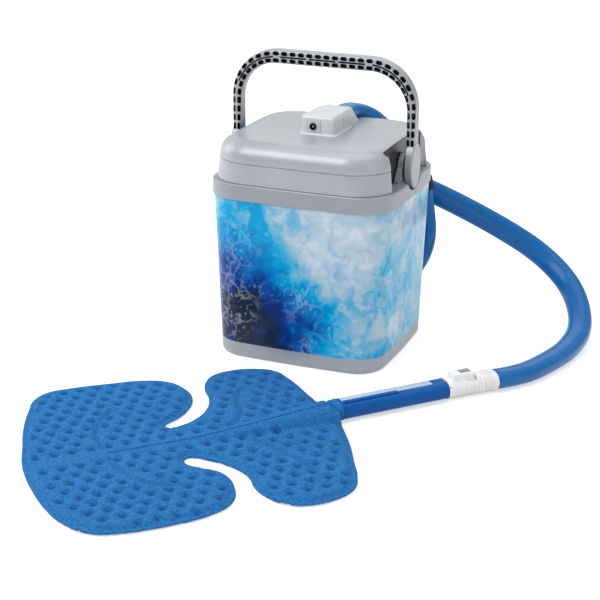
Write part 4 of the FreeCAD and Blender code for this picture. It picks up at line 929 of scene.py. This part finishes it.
@dataclass
class KneePad(Assembly):
    """The quilted pad: two wide lobes and two side wings, welded in a grid of dimples."""

    origin: tuple[float, float] = (0.092, -0.196)
    heading_degrees: float = 225.0
    floor_gap: float = 0.1 * MM
    rim_thickness: float = 4.0 * MM
    rim_width: float = 4.2 * MM
    rim_flat: float = 0.3 * MM
    body_thickness: float = 6.4 * MM
    body_slope: float = 5.0 * MM
    # Points this share of the rim's thickness above the floor move with the top, lower ones less.
    top_share: float = 0.75
    least_top: float = 0.05
    groove_depth: float = 0.9 * MM
    groove_reach: float = 1.3 * MM
    # The mesh, and the cloth's swelling between the places where it is held.
    voxel: float = 3.1 * MM
    pressure: float = 4.0
    stretch_stiffness: float = 8.0
    shear_stiffness: float = 4.0
    bending_stiffness: float = 0.3
    frames: int = 20
    rise_cap: float = 3.0 * MM
    floor_hold: float = 1.2 * MM
    dimple_hold: float = 2.4 * MM
    weld_hold: float = 2.2 * MM
    # The grid of dimples, how far it keeps from the other welds, how they are pressed, and how dark the
    # fabric is painted in them, partly as painted shade.
    dimple_pitch: float = 17.5 * MM
    row_share: float = 0.86
    rows_each_side: int = 12
    columns: int = 21
    rim_margin: float = 4.5 * MM
    weld_margin: float = 6.0 * MM
    dimple_radius: float = 4.3 * MM
    dimple_depth: float = 4.0 * MM
    weld_depth: float = 2.0 * MM
    weld_reach: float = 3.2 * MM
    weld_darkness: float = 0.8
    darkness_power: float = 1.5
    # The ridge over the tubes, which sinks and narrows towards its end.
    ridge_height: float = 12.5 * MM
    ridge_tail_height: float = 1.2 * MM
    ridge_half_width: float = 13.5 * MM
    ridge_tail_half_width: float = 5.0 * MM
    ridge_skirt: float = 1.6
    # The powers that shape how the ridge sinks along its run and falls off to its sides.
    ridge_fall: float = 1.2
    ridge_round: float = 0.8
    seam_width: float = 2.34 * MM
    seam_height: float = 1.8 * MM
    seam_lift: float = 0.2 * MM
    # Distances along the ridge and across it, in millimetres: the ridge's two runs, the first
    # dimple, the dimples' distance from the ridge, the seam's start, end and step, and the outline,
    # which runs anticlockwise.
    ridge_end: float = 222.0
    ridge_run: float = 150.0
    first_dimple: float = 8.0
    ridge_margin: float = 8.0
    ridge_margin_extra: float = 12.0
    seam_run: tuple[int, int, int] = (2, 236, 3)
    outline: tuple[tuple[float, float], ...] = (
        (1, -14), (3, -34), (4, -56), (7, -106), (13, -129), (31, -143), (57, -148), (78, -143),
        (91, -129), (98, -111), (101, -91), (112, -66), (129, -48), (146, -39), (160, -38),
        (163, -43.5), (158, -48.5), (144, -57), (126, -76), (116, -98), (116, -119), (127, -144),
        (153, -158), (180, -162), (228, -166), (250, -164), (267, -151), (277, -130), (291, -92),
        (302, -49), (310, -15), (313, 15), (313, 44), (311, 74), (303, 108), (286, 134),
        (264, 143), (240, 146), (212, 146), (185, 143), (158, 130), (144, 101), (145, 73),
        (156, 58), (168, 46), (170, 38), (166, 31), (159, 31), (149, 40), (139, 52), (126, 83),
        (128, 112), (124, 131), (114, 148), (95, 158), (66, 156), (46, 145), (33, 123), (24, 96),
        (15, 70), (7, 40), (2, 14),
    )  # fmt: skip
    # Weld lines, in the same measure.
    welds: tuple[tuple[tuple[float, float], ...], ...] = (
        ((196, -92), (206, -88), (222, -70), (232, -44), (234, -12)),
        ((234, 12), (230, 44), (218, 68), (200, 82), (190, 84)),
        ((62, -96), (72, -84), (80, -64), (84, -40), (96, -22)),
        ((66, 100), (74, 74), (84, 46), (96, 24)),
    )
    # Made while the pad is built: its piece, its smooth outline, and search trees of that outline,
    # of the weld lines and of the dimples.
    pad: Object = field(init=False)
    edge: list[Vector] = field(init=False)
    rim: KDTree = field(init=False)
    lines: list[KDTree] = field(init=False)
    dimples: KDTree = field(init=False)

    def axes(self) -> tuple[Vector, Vector]:
        """Gives the ways along the ridge and across it."""
        angle = math.radians(self.heading_degrees)
        return Vector((math.cos(angle), math.sin(angle), 0)), Vector((-math.sin(angle), math.cos(angle), 0))

    def world(self, along_mm: float, across_mm: float, z: float = 0.0) -> Vector:
        """Gives the place of a point of the pad's own frame.

        Args:
            along_mm: Distance along the ridge from the collar.
            across_mm: Distance across it, positive towards the front.
            z: Height in metres.

        Returns:
            The point in metres.
        """
        way, side = self.axes()
        return Vector((*self.origin, z)) + way * (along_mm * MM) + side * (across_mm * MM)

    def local(self, point: Vector) -> tuple[float, float]:
        """Gives the place of a point in the pad's own frame.

        Args:
            point: The point in metres.

        Returns:
            Its distances along the ridge and across it, in millimetres.
        """
        offset = Vector((point.x - self.origin[0], point.y - self.origin[1], 0))
        way, side = self.axes()
        return offset.dot(way) / MM, offset.dot(side) / MM

    def trace(self, spline: bpy.types.Spline) -> None:
        """Notes the smooth outline as points about 1 mm apart.

        Args:
            spline: The outline's smooth spline.
        """
        knots = list(spline.bezier_points)
        self.edge = []
        for start, end in zip(knots, knots[1:] + knots[:1]):
            count = max(2, int((end.co - start.co).length / MM))
            ends = (start.co, start.handle_right, end.handle_left, end.co)
            self.edge += map(on_floor, interpolate_bezier(*ends, count + 1)[:-1])

    def cut_blank(self) -> None:
        """Makes the pad's flat blank from its outline, with a bevelled edge, on the floor."""
        curve = bpy.data.curves.new("pad_blank", "CURVE")
        curve.dimensions = "2D"
        curve.fill_mode = "BOTH"
        curve.resolution_u = 6
        curve.bevel_depth = self.rim_thickness / 2 - self.rim_flat
        curve.extrude = self.rim_flat
        curve.offset = -curve.bevel_depth
        spline = curve.splines.new("BEZIER")
        spline.bezier_points.add(len(self.outline) - 1)
        for target, corner in zip(spline.bezier_points, self.outline):
            target.co = self.world(*corner)
            target.handle_left_type = target.handle_right_type = "AUTO"
        spline.use_cyclic_u = True
        scratch = add_object("pad_blank", curve)
        bpy.context.view_layer.update()
        self.trace(spline)
        graph = bpy.context.evaluated_depsgraph_get()
        mesh = bpy.data.meshes.new_from_object(scratch.evaluated_get(graph))
        bpy.data.objects.remove(scratch)
        bpy.data.curves.remove(curve)
        mesh.transform(Matrix.Translation((0, 0, self.rim_thickness / 2 + self.floor_gap)))
        bm = bmesh.new()
        bm.from_mesh(mesh)
        bmesh.ops.remove_doubles(bm, verts=bm.verts, dist=0.01 * MM)
        bmesh.ops.recalc_face_normals(bm, faces=bm.faces)
        bm.to_mesh(mesh)
        bm.free()
        self.pad = add_object("quilted_pad", mesh)

    def apply(self) -> None:
        """Applies every modifier of the pad to its mesh."""
        graph = bpy.context.evaluated_depsgraph_get()
        mesh = bpy.data.meshes.new_from_object(self.pad.evaluated_get(graph))
        old = self.pad.data
        self.pad.modifiers.clear()
        self.pad.data = mesh
        bpy.data.meshes.remove(old)
        mesh.name = "quilted_pad"

    def line_tree(self, corners: tuple[tuple[float, float], ...]) -> KDTree:
        """Gives a search tree of points about 1 mm apart along straight runs.

        Args:
            corners: Corners of the line in the pad's own frame, in millimetres.

        Returns:
            The tree.
        """
        turns = [self.world(*corner) for corner in corners]
        points = []
        for start, end in zip(turns, turns[1:]):
            count = max(1, int((end - start).length / MM))
            points += [start.lerp(end, i / count) for i in range(count)]
        return search_tree(points + turns[-1:])

    def covers(self, along: float, across: float) -> bool:
        """Tells whether a point lies inside the outline.

        Args:
            along: Its distance along the ridge in millimetres.
            across: Its distance across it.

        Returns:
            True inside.
        """
        inside = False
        corners = self.outline
        for (x0, y0), (x1, y1) in zip(corners, corners[1:] + corners[:1]):
            if (y0 > across) != (y1 > across) and along < (x1 - x0) * (across - y0) / (y1 - y0) + x0:
                inside = not inside
        return inside

    def dimple_places(self) -> list[Vector]:
        """Gives the dimples' places: a staggered grid that keeps off the rim, ridge and welds.

        Returns:
            Their places on the floor.
        """
        pitch = self.dimple_pitch / MM
        row_step = pitch * self.row_share
        rim_reach = self.rim_width + self.rim_margin
        places = []
        for row in range(-self.rows_each_side, self.rows_each_side + 1):
            for column in range(self.columns):
                across = row * row_step
                along = self.first_dimple + (column + (0.5 if row % 2 else 0.0)) * pitch
                point = self.world(along, across)
                off_ridge = self.ridge_margin_extra * (1 - along / self.ridge_run)
                if not self.covers(along, across) or self.rim.find(point)[2] < rim_reach:
                    continue
                if abs(across) < self.ridge_margin + max(0.0, off_ridge):
                    continue
                if all(line.find(point)[2] >= self.weld_margin for line in self.lines):
                    places.append(point)
        return places

    def inflate(self) -> None:
        """Lets the pad's cloth swell between its welds, and caps how far it rises."""
        lines = [*self.lines, self.line_tree(((0, 0), (self.ridge_end, 0)))]
        held = self.pad.vertex_groups.new(name="held")
        rest = [vertex.co.copy() for vertex in self.pad.data.vertices]
        for vertex in self.pad.data.vertices:
            flat = on_floor(vertex.co)
            on_edge = vertex.co.z < self.floor_hold or self.rim.find(flat)[2] < self.rim_width
            on_dimple = self.dimples.find(flat)[2] < self.dimple_hold
            if on_edge or on_dimple or any(line.find(flat)[2] < self.weld_hold for line in lines):
                held.add([vertex.index], 1.0, "REPLACE")
        cloth = self.pad.modifiers.new("Cloth", "CLOTH")
        settings = cloth.settings
        settings.vertex_group_mass = "held"
        settings.use_pressure = True
        settings.uniform_pressure_force = self.pressure
        settings.quality = 5
        settings.tension_stiffness = settings.compression_stiffness = self.stretch_stiffness
        settings.shear_stiffness = self.shear_stiffness
        settings.bending_stiffness = self.bending_stiffness
        settings.effector_weights.gravity = 0.0
        cloth.collision_settings.use_collision = False
        cloth.point_cache.frame_start, cloth.point_cache.frame_end = 1, self.frames
        scene = bpy.context.scene
        for frame in range(1, self.frames + 1):
            scene.frame_set(frame)
        self.apply()
        scene.frame_set(1)
        for vertex, start in zip(self.pad.data.vertices, rest):
            move = vertex.co - start
            if move.length > self.rise_cap:
                vertex.co = start + move * (self.rise_cap / move.length)
            vertex.co.z = max(vertex.co.z, self.floor_gap)

    def round_edge(self) -> None:
        """Draws the mesh's edge onto the smooth outline, rounded by the rim's thickness."""
        radius = self.rim_thickness / 2
        for vertex in self.pad.data.vertices:
            flat = on_floor(vertex.co)
            near, number, _ = self.rim.find(flat)
            run = self.edge[(number + 1) % len(self.edge)] - self.edge[number - 1]
            inward = Vector((-run.y, run.x, 0)).normalized()
            depth = (flat - near).dot(inward)
            if depth > 1.1 * radius:
                continue
            height = min(1.0, max(-1.0, (vertex.co.z - radius) / radius))
            vertex.co += inward * (radius * (1 - math.sqrt(1 - height * height)) - depth)

    def shape(self) -> None:
        """Thickens the pad's body inside the rim, raises the ridge and presses the welds in."""
        pressed = self.pad.data.attributes.new("pressed", "FLOAT", "POINT").data
        for vertex in self.pad.data.vertices:
            top = min(1.0, max(0.0, vertex.co.z / (self.rim_thickness * self.top_share)))
            if top <= self.least_top:
                continue
            flat = on_floor(vertex.co)
            inward = self.rim.find(flat)[2] - self.rim_width
            body = min(1.0, max(0.0, inward / self.body_slope))
            rise = (self.body_thickness - self.rim_thickness) * body * body * (3 - 2 * body)
            groove = self.groove_depth * bell(inward / self.groove_reach)
            press = self.dimple_depth * bell(self.dimples.find(flat)[2] / self.dimple_radius)
            for line in self.lines:
                press = max(press, self.weld_depth * bell(line.find(flat)[2] / self.weld_reach))
            # How dark the fabric is painted at this point: the pressed nap's own tone and painted shade in
            # the hollow.
            darkness = (press / self.dimple_depth) ** self.darkness_power * self.weld_darkness
            pressed[vertex.index].value = min(1.0, darkness)
            vertex.co.z += top * (rise - groove - press + self.ridge_rise(*self.local(flat)))
            vertex.co.z = max(vertex.co.z, self.floor_gap)

    def ridge_rise(self, along: float, across: float) -> float:
        """Gives how far the tubes under the fabric lift it at a point, in metres.

        Args:
            along: Distance along the ridge in millimetres.
            across: Distance across it in millimetres.

        Returns:
            The rise, largest on the ridge's crest.
        """
        if along > self.ridge_end:
            return 0.0
        share = min(1.0, max(0.0, along / self.ridge_run))
        half = (1 - share) * self.ridge_half_width + share * self.ridge_tail_half_width
        tail = self.ridge_tail_height * (1 - max(0.0, along) / self.ridge_end)
        height = (1 - share) ** self.ridge_fall * self.ridge_height + tail
        off = abs(across) * MM / half / self.ridge_skirt
        return height * max(0.0, 1 - off**3) ** self.ridge_round

    def build(self) -> None:
        """Makes the pad, swells it and welds its pattern in."""
        self.cut_blank()
        remesh = self.pad.modifiers.new("remesh", "REMESH")
        remesh.mode = "VOXEL"
        remesh.voxel_size = self.voxel
        self.apply()
        self.rim = search_tree(self.edge)
        self.lines = [self.line_tree(weld) for weld in self.welds]
        places = self.dimple_places()
        self.dimples = search_tree(places)
        LOG.info("pad: %d dimples before the cloth swells", len(places))
        self.inflate()
        finer = self.pad.modifiers.new("finer", "SUBSURF")
        finer.levels = finer.render_levels = 1
        self.apply()
        self.round_edge()
        self.shape()
        for polygon in self.pad.data.polygons:
            polygon.use_smooth = True
        pad = self.place(self.pad, "knee_pad", Slot.PAD, Body.PAD)
        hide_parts("knee_pad")
        self.build_seam()

    def build_seam(self) -> None:
        """Makes the sewn fold that runs along the ridge's crest, from its collar to past its end."""
        crest = []
        for along in range(*self.seam_run):
            hit, place, _, _ = self.pad.ray_cast(self.world(along, 0.0, 0.1), -UPWARD)
            if hit:
                crest.append(place + UPWARD * self.seam_lift)
        _, side = self.axes()
        rings = even_stations(curve_points(crest, 2), side, self.seam_width, self.seam_height)
        seam = sweep("ridge_seam", rings, segments=10, squareness=2.0)
        self.place(seam, "knee_pad", Slot.PAD, Body.PAD)


# ------------ pad's sleeve
@dataclass(frozen=True)
class Strip:
    """A thin strip along the sleeve's top: where it starts, how far to the side it lies, its size."""

    name: str
    start: float
    offset: float
    width: float
    thickness: float


@dataclass
class PadSleeve(Assembly):
    """The vinyl sleeve on the pad's two tubes, with its strip, lapped edge and fabric cuff."""

    start: Point = (0.1778, -0.1027, 0.0112)
    turn: Point = (0.1723, -0.1085, 0.0112)
    collar: Point = (0.0919, -0.1961, 0.0105)
    across: Point = (-0.7, 0.7, 0.0)
    width: float = 26.0 * MM
    height: float = 17.0 * MM
    label: Strip = Strip("label_strip", 11.0 * MM, -1.5 * MM, 10.0 * MM, 0.5 * MM)
    lap: Strip = Strip("sleeve_lap", 52.0 * MM, 4.5 * MM, 5.0 * MM, 1.1 * MM)
    strip_sink: float = 0.1 * MM
    strip_rounding: float = 0.35
    cuff_length: float = 6.0 * MM
    # How far each of the cuff's sections lies past the collar and stands proud, in millimetres.
    cuff_sections: tuple[tuple[float, float], ...] = (
        (-3.2, 0.1), (-3.0, 0.6), (-2.4, 0.8), (-1.8, 0.5), (-1.0, 0.3), (4.0, 0.2),
    )  # fmt: skip

    def axis(self) -> tuple[Vector, Vector, Vector, Vector]:
        """Gives the sleeve's own frame past its turn.

        Returns:
            Its start, heading, side and upright.
        """
        origin, end = Vector(self.turn), Vector(self.collar)
        heading = (end - origin).normalized()
        side = UPWARD.cross(heading).normalized()
        return origin, heading, side, heading.cross(side)

    def lay_strip(self, strip: Strip) -> Object:
        """Makes a strip on the sleeve's top, which ends under the cuff.

        Args:
            strip: Its name, place and size.

        Returns:
            The strip's piece.
        """
        origin, heading, side, upright = self.axis()
        end = (Vector(self.collar) - Vector(self.turn)).length - self.cuff_length
        middle = origin + heading * ((strip.start + end) / 2) + side * strip.offset
        middle += upright * (self.height / 2 - self.strip_sink + strip.thickness / 2)
        sides = (heading * (end - strip.start), side * strip.width, upright * strip.thickness)
        frame = Matrix(sides).transposed().to_4x4()
        frame.translation = middle
        bm = bmesh.new()
        bmesh.ops.create_cube(bm, size=1.0, matrix=frame)
        rounding = strip.thickness * self.strip_rounding
        bmesh.ops.bevel(bm, geom=bm.edges, offset=rounding, segments=2, profile=0.5, affect="EDGES")
        return finished(strip.name, bm)

    def build(self) -> None:
        """Makes the sleeve and all that is on it."""
        start, turn, collar = Vector(self.start), Vector(self.turn), Vector(self.collar)
        line = curve_points([start, turn, turn.lerp(collar, 0.5), collar], 10)
        sections = even_stations(line, Vector(self.across), self.width, self.height)
        tube = sweep("tube_sleeve", sections, squareness=3.2)
        sleeve = self.place(tube, "pad_tube", Slot.HOSE, Body.PAD)
        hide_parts("pad_tube")
        label = self.place(self.lay_strip(self.label), "tube_label", Slot.LABEL, Body.PAD)
        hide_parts("tube_label")
        self.place(self.lay_strip(self.lap), "pad_tube", Slot.HOSE, Body.PAD)
        self.build_cuff()

    def build_cuff(self) -> None:
        """Makes the cuff that closes the pad round its tube, with a corded edge."""
        _, heading, side, _ = self.axis()
        sections = []
        for reach, grow in self.cuff_sections:
            centre = Vector(self.collar) + heading * (reach * MM)
            lift = 2 * grow * MM
            sections.append(Station(centre, heading, side, self.width + lift, self.height + lift))
        collar = sweep("pad_collar", sections, squareness=2.8)
        cuff = self.place(collar, "pad_cuff", Slot.PAD, Body.PAD)
        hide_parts("pad_cuff")


# ------------ latch spring
@dataclass
class LatchCoil(Assembly):
    """The coil under the coupling's button, wound at its rest length, though the real one shortens as the
    button sinks.
    """

    wire: float = 0.8 * MM
    turns: int = 4
    steps: int = 20
    travel: float = 1.5 * MM

    def build(self) -> None:
        """Winds the coil in the place of its CAD solid."""
        low, high = (Vector(corner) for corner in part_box("latch_spring"))
        middle, span = (low + high) / 2, high - low
        foot = Vector((middle.x, middle.y, low.z))
        radius = (span.x - self.wire) / 2
        count = self.turns * self.steps
        line = []
        for step in range(count + 1):
            angle = math.tau * step / self.steps
            rise = self.wire / 2 + (span.z - self.wire) * step / count
            line.append(foot + Vector((radius * math.cos(angle), radius * math.sin(angle), rise)))
        sections = even_stations(line, UPWARD, self.wire, self.wire)
        wound = sweep("latch_coil", sections, segments=12, squareness=2.0)
        coil = self.place(wound, "latch_spring", Slot.STEEL, Body.PAD)
        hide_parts("latch_spring")
        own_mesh(coil)


# ------------ studio
@dataclass(frozen=True)
class Lamp:
    """A soft square lamp."""

    name: str
    place: Point
    size: float
    power: float


@dataclass
class Studio:
    """Pale floor, soft lamps and the camera."""

    focal_mm: float = 88.654
    sensor_mm: float = 36.0
    clip: tuple[float, float] = (0.05, 60.0)
    eye: Point = (0.561063, -1.440783, 0.617998)
    right: Point = (0.925236, 0.379365, 0.004589)
    upward: Point = (-0.135689, 0.319589, 0.937791)
    backward: Point = (0.354299, -0.868300, 0.347171)
    floor_half_size: float = 12.0
    floor_colour: str = "#E6E6E6"
    floor_glow: float = 0.55
    sky_colour: str = "#F4F6F8"
    sky_strength: float = 0.62
    lamps: tuple[Lamp, ...] = (
        Lamp("key", (-0.75, -1.15, 1.75), 1.1, 16.0),
        Lamp("top", (0.15, 0.25, 1.9), 1.6, 9.0),
        Lamp("fill", (1.7, -0.5, 0.9), 1.2, 2.5),
        Lamp("back", (-0.4, 1.6, 1.2), 1.2, 2.6),
        Lamp("side", (-2.2, 0.1, 1.0), 1.4, 13.0),
    )
    target: Point = (0.03, -0.05, 0.12)

    def build(self) -> None:
        """Makes the camera, floor, lamps and world."""
        self.build_camera()
        self.build_floor()
        self.build_world()
        for lamp in self.lamps:
            self.build_lamp(lamp)
        bpy.context.scene.view_settings.view_transform = "Standard"

    def build_camera(self) -> None:
        """Sets the camera: a long lens, above the front right corner."""
        camera = add_object("camera", bpy.data.cameras.new("camera"))
        camera.data.lens = self.focal_mm
        camera.data.sensor_width = self.sensor_mm
        camera.data.clip_start, camera.data.clip_end = self.clip
        pose = Matrix((self.right, self.upward, self.backward)).transposed().to_4x4()
        pose.translation = Vector(self.eye)
        camera.matrix_world = pose
        bpy.context.scene.camera = camera

    def build_floor(self) -> None:
        """Lays a floor that is white to the eye and keeps the object's soft shadow."""
        bm = bmesh.new()
        bmesh.ops.create_grid(bm, x_segments=1, y_segments=1, size=self.floor_half_size)
        floor = finished("floor", bm)
        # Matt painted board: it glows a little in what the eye and gloss see, and not as a light.
        material = bpy.data.materials.new("white_studio_floor")
        graph = Graph(material)
        matt = graph.add("BsdfDiffuse", {"Color": linear(self.floor_colour)})
        glow = graph.add("Emission", {"Strength": self.floor_glow})
        both = graph.add("AddShader", {0: matt, 1: glow})
        path = graph.add("LightPath").outputs
        seen = path["Is Camera Ray"]
        for kind in ("Is Glossy Ray", "Is Transmission Ray"):
            seen = graph.add("Math MAXIMUM", {0: seen, 1: path[kind]})
        graph.add("OutputMaterial", {"Surface": graph.add("MixShader", {0: seen, 1: matt, 2: both})})
        floor.data.materials.append(material)

    def build_world(self) -> None:
        """Sets a white world for the eye and a softer one for light."""
        world = bpy.data.worlds.new("studio")
        bpy.context.scene.world = world
        graph = Graph(world)
        sky = {"Color": linear(self.sky_colour), "Strength": self.sky_strength}
        soft = graph.add("Background", sky)
        white = graph.add("Background", {"Color": linear("#FFFFFF"), "Strength": 1.0})
        seen = graph.add("LightPath").outputs["Is Camera Ray"]
        graph.add("OutputWorld", {"Surface": graph.add("MixShader", {0: seen, 1: soft, 2: white})})

    def build_lamp(self, lamp: Lamp) -> None:
        """Hangs a lamp, turned to the object.

        Args:
            lamp: Its name, place, size and power.
        """
        data = bpy.data.lights.new(lamp.name, "AREA")
        data.shape = "SQUARE"
        data.size = lamp.size
        data.energy = lamp.power
        place = Vector(lamp.place)
        facing = (Vector(self.target) - place).to_track_quat("-Z", "Y")
        lit = add_object(lamp.name, data)
        lit.matrix_world = Matrix.Translation(place) @ facing.to_matrix().to_4x4()


def main() -> None:
    """Builds the scene in order."""
    logging.basicConfig(level=logging.INFO, format="%(name)s: %(message)s")
    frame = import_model()
    Studio().build()
    worn = dress(frame["nodes"])
    for assembly in (Hose, Boot, KneePad, PadSleeve, LatchCoil):
        assembly(worn).build()


if __name__ == "__main__":
    main()
